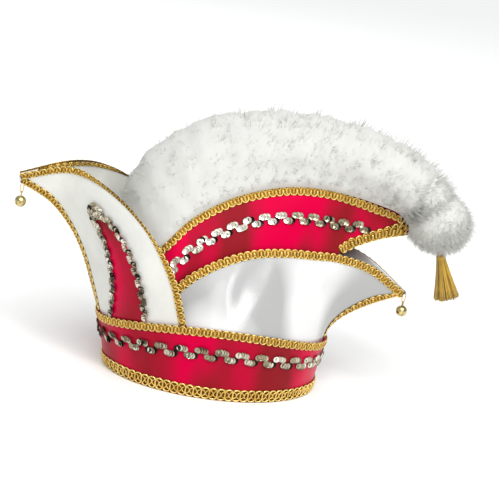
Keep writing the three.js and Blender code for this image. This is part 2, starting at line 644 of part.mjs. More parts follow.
addHeadband();
addProw();
addHull();
addCrest();
addMarabou();
const prowTip = PROW_EDGES[PROW_EDGES.length - 1];
const hornTip = HULL_TOP[HULL_TOP.length - 1];
addBell("front", point(prowTip.stemX + 3, 0, prowTip.stemZ - WALL - 1.5));
addBell("rear", point(hornTip.x - 1.5, 0, hornTip.z - 3));

// The origin is under the middle of the part's length and width, on the surface that the rim rests on.
const box = new THREE.Box3().setFromObject(cap);
cap.children.forEach((mesh) => mesh.geometry.translate(-(box.min.x + box.max.x) / 2, 0, 0));

export default cap;
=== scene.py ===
"""Looks of a carnival committee cap: satin walls, gold gimp, sequins, marabou down, a tassel and bells.

Sizes are in millimetres in the cap's own frame: the band's centre at x = 0, +Z up, the tall prow at -X, the
tassel at +X and the wearer's left side at -Y. Meshes are put into the row frame in metres.
"""

import logging
import math
from collections.abc import Callable
from dataclasses import dataclass, field
from enum import Enum

import bpy
import numpy as np
from mathutils import Matrix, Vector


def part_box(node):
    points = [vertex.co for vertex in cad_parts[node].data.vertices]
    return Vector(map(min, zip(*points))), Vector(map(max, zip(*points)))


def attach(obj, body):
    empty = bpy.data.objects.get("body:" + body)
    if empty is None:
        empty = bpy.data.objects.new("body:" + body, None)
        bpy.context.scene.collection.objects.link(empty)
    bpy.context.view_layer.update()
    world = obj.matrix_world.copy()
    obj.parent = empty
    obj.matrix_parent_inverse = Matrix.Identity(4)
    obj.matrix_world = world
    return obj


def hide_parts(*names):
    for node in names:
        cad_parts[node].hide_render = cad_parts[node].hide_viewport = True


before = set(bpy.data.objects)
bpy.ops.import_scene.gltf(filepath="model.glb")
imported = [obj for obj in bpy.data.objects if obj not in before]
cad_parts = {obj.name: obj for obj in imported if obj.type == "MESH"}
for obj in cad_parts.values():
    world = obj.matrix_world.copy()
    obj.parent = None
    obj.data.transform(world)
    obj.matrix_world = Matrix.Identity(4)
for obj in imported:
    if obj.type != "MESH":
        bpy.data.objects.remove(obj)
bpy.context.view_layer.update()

Array = np.ndarray
Path = Callable[[Array], tuple[Array, Array]]
Place = tuple[float, float, float]
Faces = list[tuple[Array, Array]]
LOG = logging.getLogger("carnival_cap")
MM = 0.001
BODY = "root"
BAND_TOP_SHIFT = -3.5
LEFT_AND_RIGHT = ("left", "right")
GOLDEN_TURN = math.pi * (3 - math.sqrt(5))
FULL_TURN = 2 * math.pi
# The spacing of a wave texture's diagonal bands at a scale of 1.
DIAGONAL_SPACING = math.pi / 5 / math.sqrt(2)


def frame_shift() -> float:
    """The millimetres from the band's centre to the row frame's origin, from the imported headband's box."""
    low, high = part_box("headband")
    return (low.x + high.x) / 2 / MM - BAND_TOP_SHIFT


SHIFT = frame_shift()


def ease(value: Array, start: float, end: float) -> Array:
    """A smooth step: 0 before start, 1 after end, and 3t^2 - 2t^3 between them."""
    t = np.clip((np.asarray(value, float) - start) / (end - start), 0, 1)
    return t * t * (3 - 2 * t)


def mix(first: Array, second: Array, share: Array) -> Array:
    """The value at a share of the way from the first to the second."""
    return first + (second - first) * share


def unit(vectors: Array) -> Array:
    """Vectors scaled to length one along the last axis."""
    return vectors / np.maximum(np.linalg.norm(vectors, axis=-1, keepdims=True), 1e-12)


def cells(grid: Array) -> Array:
    """The four corners of each cell of a grid, in order round the cell.

    Args:
        grid: rows by columns of vertex numbers, or of coordinates along a last axis.

    Returns:
        One row of four corners for each cell.
    """
    corners = [grid[:-1, :-1], grid[:-1, 1:], grid[1:, 1:], grid[1:, :-1]]
    return np.stack(corners, axis=2).reshape(-1, 4, *grid.shape[2:])


@dataclass(frozen=True)
class SizeTable:
    """Rows of sizes with named columns, read on a smooth curve. The first column is the key."""

    columns: tuple[str, ...]
    rows: tuple[tuple[float, ...], ...]

    def read(self, column: str, at: Array) -> Array:
        """The column's value at a key: cubic Hermite pieces with slopes across each row's neighbours.

        Args:
            column: the column's name.
            at: key values, in any shape.

        Returns:
            The column's values, in the same shape.
        """
        table = np.asarray(self.rows, float)
        key, value = table[:, 0], table[:, self.columns.index(column)]
        before = np.maximum(np.arange(len(key)) - 1, 0)
        after = np.minimum(np.arange(len(key)) + 1, len(key) - 1)
        slope = (value[after] - value[before]) / (key[after] - key[before])
        at = np.asarray(at, float)
        i = np.clip(np.searchsorted(key, at) - 1, 0, len(key) - 2)
        step = key[i + 1] - key[i]
        t = (at - key[i]) / step
        bend = step * (slope[i] * t * (1 - t) ** 2 - slope[i + 1] * t * t * (1 - t))
        return mix(value[i], value[i + 1], t * t * (3 - 2 * t)) + bend


class Surface:
    """A cloth surface on the wearer's left, as a function of two parameters: u along the cap and v up it."""

    def point(self, u: Array, v: Array) -> Array:
        """Points of the surface, in millimetres."""
        raise NotImplementedError

    def slopes(self, u: Array, v: Array) -> tuple[Array, Array]:
        """The surface's derivatives along u and v, by central differences.

        Args:
            u: places along.
            v: places up.

        Returns:
            The two slopes, in millimetres for each unit.
        """
        tiny = 1e-3
        along_u = (self.point(u + tiny, v) - self.point(u - tiny, v)) / (2 * tiny)
        along_v = (self.point(u, v + tiny) - self.point(u, v - tiny)) / (2 * tiny)
        return along_u, along_v

    def normal(self, u: Array, v: Array) -> Array:
        """Outward unit normals: the cross product of the two slopes."""
        return unit(np.cross(*self.slopes(u, v)))


@dataclass(frozen=True)
class BandSurface(Surface):
    """The headband: ellipses that grow from the rim to the top edge, which stands higher over the ears."""

    rim_long: float = 98.5
    rim_half: float = 80.0
    top_long: float = 109.5
    top_half: float = 84.0
    end_height: float = 50.0
    ear_rise: float = 17.3
    ripple: float = 0.55

    def point(self, u: Array, v: Array, inset: Array = 0.0) -> Array:
        """Points by turn in degrees from the front and share of the height, set in by some depth.

        An ellipse whose half axes run linearly from rim to top, at a height that swells with sin^2 of the
        turn, with slow ripples in the cloth that die out at both edges.

        Args:
            u: turns from the front.
            v: shares of the height.
            inset: millimetres in from the cloth.

        Returns:
            Points in millimetres.
        """
        angle = np.radians(u)
        slack = np.clip(4 * v * (1 - v), 0, 1) * self.ripple
        waves = np.sin(5 * angle + 4.4 * v) + 0.7 * np.sin(9 * angle - 5 * v + 1.3)
        out = slack * waves - inset
        long = mix(self.rim_long, self.top_long, v) + out
        half = mix(self.rim_half, self.top_half, v) + out
        height = v * (self.end_height + self.ear_rise * np.sin(angle) ** 2)
        return np.stack([BAND_TOP_SHIFT * v - long * np.cos(angle), -half * np.sin(angle), height], axis=-1)


@dataclass(frozen=True)
class ProwSurface(Surface):
    """The tall front horn: a bow that sharpens from the band's oval into a V at the tip."""

    band: BandSurface = field(default_factory=BandSurface)
    turn: float = 73.0
    fold: float = 0.8
    inset: float = 2.2
    tuck: float = 0.45
    edges: SizeTable = SizeTable(
        ("rise", "stem_x", "stem_z", "edge_x", "edge_half", "edge_z"),
        (
            (0.0, -110.3, 50, -32.3, 78.2, 65.8),
            (0.2, -120.5, 73.6, -51, 83.4, 112.5),
            (0.4, -132, 100, -82, 76, 152.4),
            (0.6, -147.5, 124.8, -117.4, 49, 175.4),
            (0.8, -169.5, 146.2, -153.8, 13.5, 182.6),
            (1.0, -199, 161, -200, 3.6, 168),
        ),
    )

    def section(self, across: Array, rise: Array) -> Array:
        """One section from the stem to a free edge: a quarter ellipse that straightens towards the tip.

        Args:
            across: shares from the stem to an edge.
            rise: shares of the height.

        Returns:
            Points in millimetres.
        """
        size = {name: self.edges.read(name, rise) for name in self.edges.columns[1:]}
        far = np.abs(across)
        sharp = self.fold * rise
        reach = mix(np.cos(far * math.pi / 2), 1 - far, sharp)
        spread = mix(np.sin(across * math.pi / 2), across, sharp)
        x = mix(size["edge_x"], size["stem_x"], reach)
        return np.stack([x, -size["edge_half"] * spread, mix(size["stem_z"], size["edge_z"], far)], axis=-1)

    def point(self, u: Array, v: Array) -> Array:
        """Points by share from the stem, 0, to the left edge, 1, or the right, -1, and by rise to the tip, 1.

        Above the base it is the section at that rise, pulled to the band's oval by (1 - rise)^3. Below it,
        it follows the inside of the band.

        Args:
            u: shares from the stem.
            v: rises.

        Returns:
            Points in millimetres.
        """
        u, v = np.broadcast_arrays(np.asarray(u, float), np.asarray(v, float))
        seat = self.band.point(self.turn * u, 1 + self.tuck * np.minimum(v, 0), self.inset)
        rise = np.maximum(v, 0)
        pull = (1 - rise[..., None]) ** 3
        above = self.section(u, rise) + (seat - self.section(u, np.zeros_like(rise))) * pull
        return np.where(v[..., None] > 0, above, seat)

    def panel_width(self, rise: Array) -> Array:
        """The straight distance from the stem to the free edge."""
        return np.linalg.norm(self.point(1.0, rise) - self.point(0.0, rise), axis=-1)


@dataclass(frozen=True)
class ProwInside(Surface):
    """The inner face of the prow, turned over at its free edge so that a trim can be folded round it."""

    prow: ProwSurface = field(default_factory=ProwSurface)
    depth: float = 1.6

    def point(self, u: Array, v: Array) -> Array:
        """Points by the same shares as the outer face, counted on past the edge at 1, and by rise."""
        turned = 2 - np.asarray(u, float)
        return self.prow.point(turned, v) - self.prow.normal(turned, v) * self.depth


@dataclass(frozen=True)
class HullSurface(Surface):
    """The white side panel from the band up to its top edge, flaring back into the short rear horn."""

    band: BandSurface = field(default_factory=lambda: BandSurface(ripple=0))
    inset_under_prow: float = 4.4
    inset_behind_prow: float = 2.2
    prow_turn: float = 73.0
    tuck: float = 0.45
    stern_half: float = 3.4
    flare_from: float = 100.0
    flare_out: float = 0.5
    flare_up: float = 0.2
    ripple: float = 0.9
    top: SizeTable = SizeTable(
        ("turn", "x", "half", "z"),
        (
            (0, -100, 0, 62),
            (30, -90, 42, 64),
            (60, -60, 66, 86),
            (75, -36, 64.5, 110.5),
            (90, -9, 58.5, 127),
            (105, 20, 52.5, 137.5),
            (120, 50, 45, 140.5),
            (135, 78, 36.5, 139.5),
            (150, 104, 28.5, 137.5),
            (165, 138, 15.8, 127),
            (180, 175, 3.4, 102),
        ),
    )

    def point(self, u: Array, v: Array) -> Array:
        """Points by turn in degrees from the front and by rise from the band, 0, to the top edge, 1.

        Straight rulings from the band's oval to the top edge's table, bent like a trumpet towards the horn
        by powers of the rise, with slow ripples across the panel's middle.

        Args:
            u: turns from the front.
            v: rises.

        Returns:
            Points in millimetres.
        """
        u, v = np.broadcast_arrays(np.asarray(u, float), np.asarray(v, float))
        behind = ease(u, self.prow_turn + 2, self.prow_turn + 14)
        inset = mix(self.inset_under_prow, self.inset_behind_prow, behind)
        inset = inset + self.stern_half * 0.35 * ease(u, 140, 165)
        seat = self.band.point(u, 1 + self.tuck * np.minimum(v, 0), inset)
        seat_half = -seat[..., 1] + self.stern_half * ease(u, 150, 180)
        rise = np.maximum(v, 0)
        flare = ease(u, self.flare_from, 180)
        x = mix(seat[..., 0], self.top.read("x", u), rise ** (1 + self.flare_out * flare))
        half = mix(seat_half, self.top.read("half", u), rise)
        slack = self.ripple * np.sin(math.pi * np.clip(rise, 0, 1))
        slack = slack * ease(u, 80, 100) * (1 - ease(u, 150, 172))
        half = half + slack * (np.sin(u / 6.5 + 2.2 * rise) + 0.6 * np.sin(u / 3.4 - 4 * rise + 2))
        z = mix(seat[..., 2], self.top.read("z", u), rise ** (1 - self.flare_up * flare))
        return np.stack([x, -half, z], axis=-1)


@dataclass(frozen=True)
class CrestSurface(Surface):
    """The red side of the crest, from its seam over the braid line to the ridge."""

    ridge_half: float = 3.0
    tuck_depth: float = 10.0
    tuck_ends: float = 8.0
    ripple: float = 0.5
    stations: SizeTable = SizeTable(
        ("at", "low_x", "low_half", "low_z", "braid_x", "braid_half", "braid_z", "ridge_x", "ridge_z"),
        (
            (0, -97.3, 3, 63, -97.3, 3, 68, -97.3, 73),
            (1, -87.5, 39, 64, -90, 30, 96, -97, 128),
            (2, -58.5, 61.8, 86, -63, 53, 126.5, -83, 178),
            (3, -35.5, 60.8, 110.5, -40, 46, 153, -52, 207),
            (4, -9, 55.8, 127, -8, 37, 174, -14, 225),
            (5, 20, 49.8, 137.5, 22, 31.5, 186, 26, 232),
            (6, 50, 42.3, 140.5, 52, 27, 192.3, 60, 233),
            (7, 78, 33.8, 139.5, 83, 21, 192, 92, 229.5),
            (8, 102, 26.2, 138.5, 110, 15, 187, 120, 222),
            (9, 120, 20, 147, 133, 9.8, 180.5, 142, 212),
            (10, 141, 11.5, 154, 152, 6, 175, 160, 201),
            (11, 167, 4, 159.5, 168, 3.6, 166, 174, 187),
        ),
    )

    @property
    def end(self) -> float:
        """The last station."""
        return float(self.stations.rows[-1][0])

    def point(self, u: Array, v: Array) -> Array:
        """Points by station and by rise.

        Each station is a parabola through the seam at 0, the braid line at 0.5 and the ridge at 1. Below the
        seam the cloth hangs straight down inside the hull. Slow ripples follow the length.

        Args:
            u: stations.
            v: rises.

        Returns:
            Points in millimetres.
        """
        u, v = np.broadcast_arrays(np.asarray(u, float), np.asarray(v, float))
        size = {name: self.stations.read(name, u) for name in self.stations.columns[1:]}
        rise = np.maximum(v, 0)
        low, middle, high = (1 - rise) * (1 - 2 * rise), 4 * rise * (1 - rise), rise * (2 * rise - 1)
        hang = self.tuck_depth * (1 - ease(u, self.tuck_ends - 1, self.tuck_ends)) * np.minimum(v, 0)
        slack = self.ripple * np.sin(math.pi * np.clip(2 * rise, 0, 1)) * np.sin(1.9 * u + 3 * rise)
        x = low * size["low_x"] + middle * size["braid_x"] + high * size["ridge_x"]
        half = low * size["low_half"] + middle * size["braid_half"] + high * self.ridge_half + slack
        z = low * size["low_z"] + middle * size["braid_z"] + high * size["ridge_z"] + hang
        return np.stack([x, -half, z], axis=-1)


BAND = BandSurface()
PROW = ProwSurface()
HULL = HullSurface()
CREST = CrestSurface()


def add_object(name: str, data: bpy.types.ID) -> bpy.types.Object:
    """Makes an object of its data and puts it into the scene.

    Args:
        name: the object's name.
        data: its mesh, light or camera.

    Returns:
        The new object.
    """
    made = bpy.data.objects.new(name, data)
    bpy.context.scene.collection.objects.link(made)
    return made


@dataclass
class Shape:
    """A mesh being put together: points in millimetres with tones, and faces with cloth coordinates."""

    points: list[Array] = field(default_factory=list)
    faces: list[Array] = field(default_factory=list)
    corners: list[Array] = field(default_factory=list)
    tones: list[Array] = field(default_factory=list)

    def add(self, points: Array, faces: Faces, tone: Array | float = 0.5) -> "Shape":
        """Adds points with their faces.

        Args:
            points: any array of points, flattened in order.
            faces: pairs of vertex numbers and cloth coordinates in metres, one row for each face.
            tone: a value for each point, or one for all, that a finish may read.

        Returns:
            The shape itself.
        """
        start = sum(len(p) for p in self.points)
        points = np.asarray(points, float).reshape(-1, 3)
        self.points.append(points)
        self.tones.append(np.broadcast_to(np.asarray(tone, float).reshape(-1), (len(points),)))
        for numbers, corners in faces:
            self.faces.append(numbers + start)
            self.corners.append(np.broadcast_to(corners, (*numbers.shape, 2)))
        return self

    def join(self, other: "Shape") -> None:
        """Adds all of another shape.

        Args:
            other: the shape that is added.
        """
        start = sum(len(p) for p in self.points)
        self.points += other.points
        self.faces += [numbers + start for numbers in other.faces]
        self.corners += other.corners
        self.tones += other.tones

    def mirrored(self) -> "Shape":
        """The same shape on the other side of the middle plane, with its faces turned back outwards.

        Returns:
            A new shape.
        """
        return Shape(
            [p * (1, -1, 1) for p in self.points],
            [f[:, ::-1] for f in self.faces],
            [c[:, ::-1] for c in self.corners],
            list(self.tones),
        )

    def piece(self, name: str, material: bpy.types.Material, smooth: bool = True) -> bpy.types.Object:
        """Makes the object, in metres in the row frame, with a UV map and a tone attribute.

        Args:
            name: the piece's name.
            material: its finish.
            smooth: whether its faces are shaded smooth.

        Returns:
            The new object, which rides on the cap's body.
        """
        points = (np.concatenate(self.points) + (SHIFT, 0, 0)) * MM
        sizes = np.concatenate([np.full(len(f), f.shape[1]) for f in self.faces])
        loops = np.concatenate([f.reshape(-1) for f in self.faces])
        corners = np.concatenate([c.reshape(-1, 2) for c in self.corners])
        mesh = bpy.data.meshes.new(name)
        mesh.vertices.add(len(points))
        mesh.vertices.foreach_set("co", points.astype(np.float32).ravel())
        mesh.loops.add(len(loops))
        mesh.loops.foreach_set("vertex_index", loops.astype(np.int32))
        mesh.polygons.add(len(sizes))
        mesh.polygons.foreach_set("loop_start", (np.cumsum(sizes) - sizes).astype(np.int32))
        mesh.polygons.foreach_set("use_smooth", np.full(len(sizes), smooth))
        layer = mesh.uv_layers.new(name="cloth")
        layer.uv.foreach_set("vector", corners.astype(np.float32).ravel())
        tone = mesh.attributes.new("tone", "FLOAT", "POINT")
        tone.data.foreach_set("value", np.concatenate(self.tones).astype(np.float32))
        mesh.update(calc_edges=True)
        mesh.materials.append(material)
        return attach(add_object(name, mesh), BODY)


def grid_normals(grid: Array, closed: bool) -> Array:
    """Unit normals of a grid of points: steps along its rows crossed with steps up its columns.

    Args:
        grid: rows by columns of points.
        closed: whether the columns run right round.

    Returns:
        A unit vector for each point.
    """
    if closed:
        along = np.roll(grid, -1, axis=1) - np.roll(grid, 1, axis=1)
    else:
        along = np.gradient(grid, axis=1)
    return unit(np.cross(along, np.gradient(grid, axis=0)))


def wall(outer: Array, inner: Array, closed: bool = False) -> tuple[Array, Faces]:
    """A closed wall between two grids of points: both faces, and strips that close its rims and ends.

    Args:
        outer: rows by columns of points that face out.
        inner: the grid behind it.
        closed: whether the columns run right round and meet.

    Returns:
        The points, and the faces with cloth coordinates measured in metres along the outer grid.
    """
    rows, columns = outer.shape[:2]
    front = np.arange(rows * columns).reshape(rows, columns)
    measured = outer
    if closed:
        front = np.concatenate([front, front[:, :1]], axis=1)
        measured = np.concatenate([outer, outer[:, :1]], axis=1)
    across = np.linalg.norm(np.diff(measured[rows // 2], axis=0), axis=-1)
    up = np.linalg.norm(np.diff(measured[:, columns // 2], axis=0), axis=-1)
    u = np.concatenate([[0], np.cumsum(across)]) * MM
    v = np.concatenate([[0], np.cumsum(up)]) * MM
    cloth = np.stack(np.meshgrid(u, v), axis=-1)
    back = front + rows * columns
    strips = [(back[0], front[0], cloth[0]), (front[-1], back[-1], cloth[-1])]
    if not closed:
        strips += [(front[:, 0], back[:, 0], cloth[:, 0]), (back[:, -1], front[:, -1], cloth[:, -1])]
    faces = [(cells(front), cells(cloth)), (cells(back)[:, ::-1], cells(cloth)[:, ::-1])]
    faces += [(cells(np.stack([a, b])), cells(np.stack([c, c]))) for a, b, c in strips]
    return np.concatenate([outer.reshape(-1, 3), inner.reshape(-1, 3)]), faces


def tubes(centre: Array, up: Array, radius: Array, sides: int, closed: bool = False) -> tuple[Array, Faces]:
    """Closed tubes carried along many paths at once: circles of points about each path, with end caps.

    Args:
        centre: paths by steps by three.
        up: directions that the first point of each circle leans to, in the same shape or broadcast.
        radius: a radius for each path and step, or broadcast.
        sides: points in each circle.
        closed: whether each path closes on itself.

    Returns:
        The points, and the faces with cloth coordinates along and round each tube in metres.
    """
    count, steps = centre.shape[:2]
    if closed:
        heading = unit(np.roll(centre, -1, axis=1) - np.roll(centre, 1, axis=1))
    else:
        heading = unit(np.gradient(centre, axis=1))
    lean = np.broadcast_to(up, centre.shape)
    lean = unit(lean - np.sum(lean * heading, axis=-1, keepdims=True) * heading)
    beside = np.cross(heading, lean)
    turn = np.linspace(0, FULL_TURN, sides, endpoint=False)
    radius = np.broadcast_to(radius, (count, steps))[..., None, None]
    ring = np.cos(turn)[:, None] * lean[:, :, None] + np.sin(turn)[:, None] * beside[:, :, None]
    points = centre[:, :, None] + radius * ring
    numbers = np.arange(count * steps * sides).reshape(count, steps, sides)
    ends = numbers
    if closed:
        numbers = np.concatenate([numbers, numbers[:, :1]], axis=1)
    numbers = np.concatenate([numbers, numbers[:, :, :1]], axis=2)
    stepped = np.linalg.norm(np.diff(centre, axis=1, append=centre[:, :1]), axis=-1)
    length = np.concatenate([np.zeros((count, 1)), np.cumsum(stepped, axis=1)], axis=1)
    length = length[:, : numbers.shape[1], None] * MM
    girth = np.linspace(0, 1, sides + 1) * FULL_TURN * MM
    cloth = np.stack(np.broadcast_arrays(length, girth), axis=-1)
    order = (1, 2, 0)
    quads = cells(numbers.transpose(order)).transpose(0, 2, 1).reshape(-1, 4)
    corners = cells(cloth.transpose(*order, 3)).transpose(0, 2, 1, 3).reshape(-1, 4, 2)
    faces = [(quads, corners)]
    if not closed:
        faces += [(ends[:, 0, ::-1], np.zeros(2)), (ends[:, -1], np.zeros(2))]
    return points, faces


def strands(root: Array, bend: Array, tip: Array, thick: tuple[float, float], steps: int,
            draw: np.random.Generator) -> tuple[Array, Faces]:
    """Many thin closed strands, each a quadratic curve from its root past its bend to its tip.

    Args:
        root, bend, tip: one point each for every strand.
        thick: the radius at the root and at the tip.
        steps: points along each strand.
        draw: the seeded draws that turn each strand's section.

    Returns:
        The points and faces of three-sided tapered tubes.
    """
    t = np.linspace(0, 1, steps)[:, None]
    centre = (1 - t) ** 2 * root[:, None] + 2 * t * (1 - t) * bend[:, None] + t**2 * tip[:, None]
    lean = draw.normal(size=(len(root), 1, 3))
    return tubes(centre, lean, mix(thick[0], thick[1], t[:, 0] ** 1.5), sides=3)


class Weave(Enum):
    """How a gimp braid's cords run: three side by side in tall loops, or four that cross in a chain."""

    MEANDER = "meander"
    CHAIN = "chain"


def srgb(colour: str) -> tuple[float, float, float, float]:
    """A hex sRGB colour as linear values with full alpha.

    Args:
        colour: the colour as #RRGGBB.

    Returns:
        Red, green, blue and alpha.
    """
    values = [int(colour[i : i + 2], 16) / 255 for i in (1, 3, 5)]
    linear = [c / 12.92 if c <= 0.04045 else ((c + 0.055) / 1.055) ** 2.4 for c in values]
    return (*linear, 1.0)


def add_node(tree: bpy.types.NodeTree, kind: str, inputs: dict | None = None,
             stops: dict[float, str] | None = None, **settings: object) -> bpy.types.Node:
    """Adds a node with its settings, and sets or links its inputs.

    Args:
        tree: the node tree.
        kind: the node's type.
        inputs: values or output sockets by input name or number.
        stops: a colour ramp's hex colours by their places, two or more.
        settings: the node's own properties.

    Returns:
        The new node.
    """
    node = tree.nodes.new(kind)
    for name, value in settings.items():
        setattr(node, name, value)
    for name, value in (inputs or {}).items():
        if isinstance(value, bpy.types.NodeSocket):
            tree.links.new(value, node.inputs[name])
        else:
            node.inputs[name].default_value = value
    for number, (place, colour) in enumerate((stops or {}).items()):
        elements = node.color_ramp.elements
        element = elements[number] if number < 2 else elements.new(place)
        element.position = place
        element.color = srgb(colour)
    return node


@dataclass(frozen=True)
class Finish:
    """A finish with its typical shader values. Subclasses add their own colour and relief."""

    name: str = "finish"
    slot: str = ""
    metallic: float = 0.0
    roughness: float = 0.5
    sheen: float = 0.0
    specular: float = 0.5

    def colour_and_relief(self, tree: bpy.types.NodeTree) -> dict[str, object]:
        """The sockets or values for the base colour, the roughness and the normal."""
        raise NotImplementedError

    def material(self) -> bpy.types.Material:
        """Makes the material: one principled shader fed by the finish's own nodes.

        Returns:
            The material.
        """
        made = bpy.data.materials.new(self.name)
        made.use_nodes = True
        tree = made.node_tree
        tree.nodes.clear()
        values = {
            "Metallic": self.metallic,
            "Roughness": self.roughness,
            "Sheen Weight": self.sheen,
            "Sheen Roughness": 0.4,
            "Specular IOR Level": self.specular,
            **self.colour_and_relief(tree),
        }
        shader = add_node(tree, "ShaderNodeBsdfPrincipled", values)
        add_node(tree, "ShaderNodeOutputMaterial", {"Surface": shader.outputs["BSDF"]})
        return made


@dataclass(frozen=True)
class Satin(Finish):
    """Polyester satin, woven with long floats: soft bands of gloss, from its specular and from painted
    highlight and painted shade in its colour, and fine diagonal threads.
    """

    # deep is the satin's colour with painted shade for the hollows, bright the same colour with a painted
    # highlight for the folds, and shaded_to and lit_from are where the ramp turns from one to the other;
    # gloss tints the real specular.
    deep: str = "#831A20"
    bright: str = "#C8003A"
    gloss: str = "#FF5A7A"
    thread_mm: float = 1.132  # real threads are near 0.2 mm; drawn coarser so that the twill shows
    thread_depth_mm: float = 0.15
    crease_mm: tuple[float, float] = (26.0, 80.0)
    crease_depth_mm: float = 4.0
    slant_deg: float = -46.0
    drift: Place = (8.4, 4.5, 0.0)
    shaded_to: float = 0.44
    lit_from: float = 0.62
    relief: float = 0.25

    def colour_and_relief(self, tree: bpy.types.NodeTree) -> dict[str, object]:
        """Slanting creases drift between the dye with painted shade and the dye with a painted highlight; the
        relief is a twill over them.

        Args:
            tree: the material's node tree.

        Returns:
            Sockets and values by the shader's input names.
        """
        place = add_node(tree, "ShaderNodeTexCoord").outputs
        slant = add_node(tree, "ShaderNodeMapping", {
            "Vector": place["UV"], "Rotation": (0, 0, math.radians(self.slant_deg)), "Location": self.drift,
            "Scale": (1 / (self.crease_mm[0] * MM), 1 / (self.crease_mm[1] * MM), 1)})
        drift = add_node(tree, "ShaderNodeTexNoise", {
            "Vector": slant.outputs["Vector"], "Scale": 0.55, "Detail": 1.5, "Roughness": 0.45})
        threads = add_node(tree, "ShaderNodeTexWave", {
            "Vector": place["UV"], "Scale": DIAGONAL_SPACING / (self.thread_mm * MM), "Distortion": 0.6,
            "Detail": 1.0}, wave_type="BANDS", bands_direction="DIAGONAL")
        # The crease noise paints shade into the hollows and a highlight onto the folds.
        dye_and_painted_light = add_node(tree, "ShaderNodeValToRGB", {"Fac": drift.outputs["Fac"]},
                       {self.shaded_to: self.deep, self.lit_from: self.bright})
        creases = add_node(tree, "ShaderNodeBump", {
            "Height": drift.outputs["Fac"], "Strength": self.relief, "Distance": self.crease_depth_mm * MM})
        weave = add_node(tree, "ShaderNodeBump", {
            "Height": threads.outputs["Fac"], "Strength": 0.12, "Distance": self.thread_depth_mm * MM,
            "Normal": creases.outputs["Normal"]})
        return {"Base Color": dye_and_painted_light.outputs["Color"], "Normal": weave.outputs["Normal"],
                "Specular Tint": srgb(self.gloss)}


@dataclass(frozen=True)
class Felt(Finish):
    """Pressed white felt: a matt nap of short fibres with faint clouding."""

    shade: str = "#D6D6D0"
    light: str = "#E2E2DC"
    cloud_mm: float = 34.0
    fibre_mm: float = 0.9
    nap_depth_mm: float = 0.3

    def colour_and_relief(self, tree: bpy.types.NodeTree) -> dict[str, object]:
        """Colour clouds slowly; the relief is a fine nap.

        Args:
            tree: the material's node tree.

        Returns:
            Sockets and values by the shader's input names.
        """
        place = add_node(tree, "ShaderNodeTexCoord").outputs
        cloud = add_node(tree, "ShaderNodeTexNoise", {
            "Vector": place["Object"], "Scale": 1 / (self.cloud_mm * MM), "Detail": 3.0, "Roughness": 0.6})
        nap = add_node(tree, "ShaderNodeTexNoise", {
            "Vector": place["Object"], "Scale": 1 / (self.fibre_mm * MM), "Detail": 4.0, "Roughness": 0.7})
        colour = add_node(tree, "ShaderNodeValToRGB", {"Fac": cloud.outputs["Fac"]},
                          {0.3: self.shade, 0.7: self.light})
        relief = add_node(tree, "ShaderNodeBump", {
            "Height": nap.outputs["Fac"], "Strength": 0.25, "Distance": self.nap_depth_mm * MM})
        return {"Base Color": colour.outputs["Color"], "Normal": relief.outputs["Normal"]}


@dataclass(frozen=True)
class Gimp(Finish):
    """Gimp cord: metallised film wrapped round a core, with a painted highlight on each wrap and painted
    brown shade between wraps.
    """

    # dark is painted shade under and between the cords, bright is a painted highlight, and middle is the gold
    # itself.
    dark: str = "#2E1A05"
    middle: str = "#C08A1C"
    bright: str = "#F8DC86"
    wrap_mm: float = 1.556  # real wraps are near 0.3 mm; drawn coarser so that they show
    wrap_depth_mm: float = 0.2
    wrap_weight: float = 0.35

    def colour_and_relief(self, tree: bpy.types.NodeTree) -> dict[str, object]:
        """Tone paints shade onto the ribbon under the cords and paints highlight and shade onto each cord;
        wraps along the cord set colour, with painted light on each wrap and painted shade between wraps, and
        relief.

        Args:
            tree: the material's node tree.

        Returns:
            Sockets and values by the shader's input names.
        """
        tone = add_node(tree, "ShaderNodeAttribute", attribute_name="tone").outputs["Fac"]
        place = add_node(tree, "ShaderNodeTexCoord").outputs
        wraps = add_node(tree, "ShaderNodeTexWave", {
            "Vector": place["UV"], "Scale": DIAGONAL_SPACING / (self.wrap_mm * MM), "Distortion": 1.2,
            "Detail": 1.0}, wave_type="BANDS", bands_direction="DIAGONAL")
        part = add_node(tree, "ShaderNodeMath", {0: wraps.outputs["Fac"], 1: self.wrap_weight, 2: tone},
                        operation="MULTIPLY_ADD")
        colour = add_node(tree, "ShaderNodeValToRGB", {"Fac": part.outputs["Value"]},
                          {0.15: self.dark, 0.62: self.middle, 1.0: self.bright})
        relief = add_node(tree, "ShaderNodeBump", {
            "Height": wraps.outputs["Fac"], "Strength": 0.5, "Distance": self.wrap_depth_mm * MM})
        return {"Base Color": colour.outputs["Color"], "Normal": relief.outputs["Normal"]}


@dataclass(frozen=True)
class Sequin(Finish):
    """Metallised film stamped into small cups: a mirror of pale champagne, each disc with its own painted
    reflection, from a bright glint to dark.
    """

    # dark is a painted dark reflection, bright is a painted glint, and middle is the champagne film itself.
    dark: str = "#14120E"
    middle: str = "#A3977C"
    bright: str = "#FBF8EC"
    grain_mm: float = 1.4
    grain_depth_mm: float = 0.2

    def colour_and_relief(self, tree: bpy.types.NodeTree) -> dict[str, object]:
        """The disc's tone sets its colour, from a painted dark reflection through the champagne film to a
        painted glint; a faint grain keeps the mirror from being perfect.

        Args:
            tree: the material's node tree.

        Returns:
            Sockets and values by the shader's input names.
        """
        tone = add_node(tree, "ShaderNodeAttribute", attribute_name="tone").outputs["Fac"]
        place = add_node(tree, "ShaderNodeTexCoord").outputs
        grain = add_node(tree, "ShaderNodeTexNoise", {
            "Vector": place["Object"], "Scale": 1 / (self.grain_mm * MM), "Detail": 1.0})
        relief = add_node(tree, "ShaderNodeBump", {
            "Height": grain.outputs["Fac"], "Strength": 0.15, "Distance": self.grain_depth_mm * MM})
        colour = add_node(tree, "ShaderNodeValToRGB", {"Fac": tone},
                          {0.0: self.dark, 0.5: self.middle, 1.0: self.bright})
        return {"Base Color": colour.outputs["Color"], "Normal": relief.outputs["Normal"]}


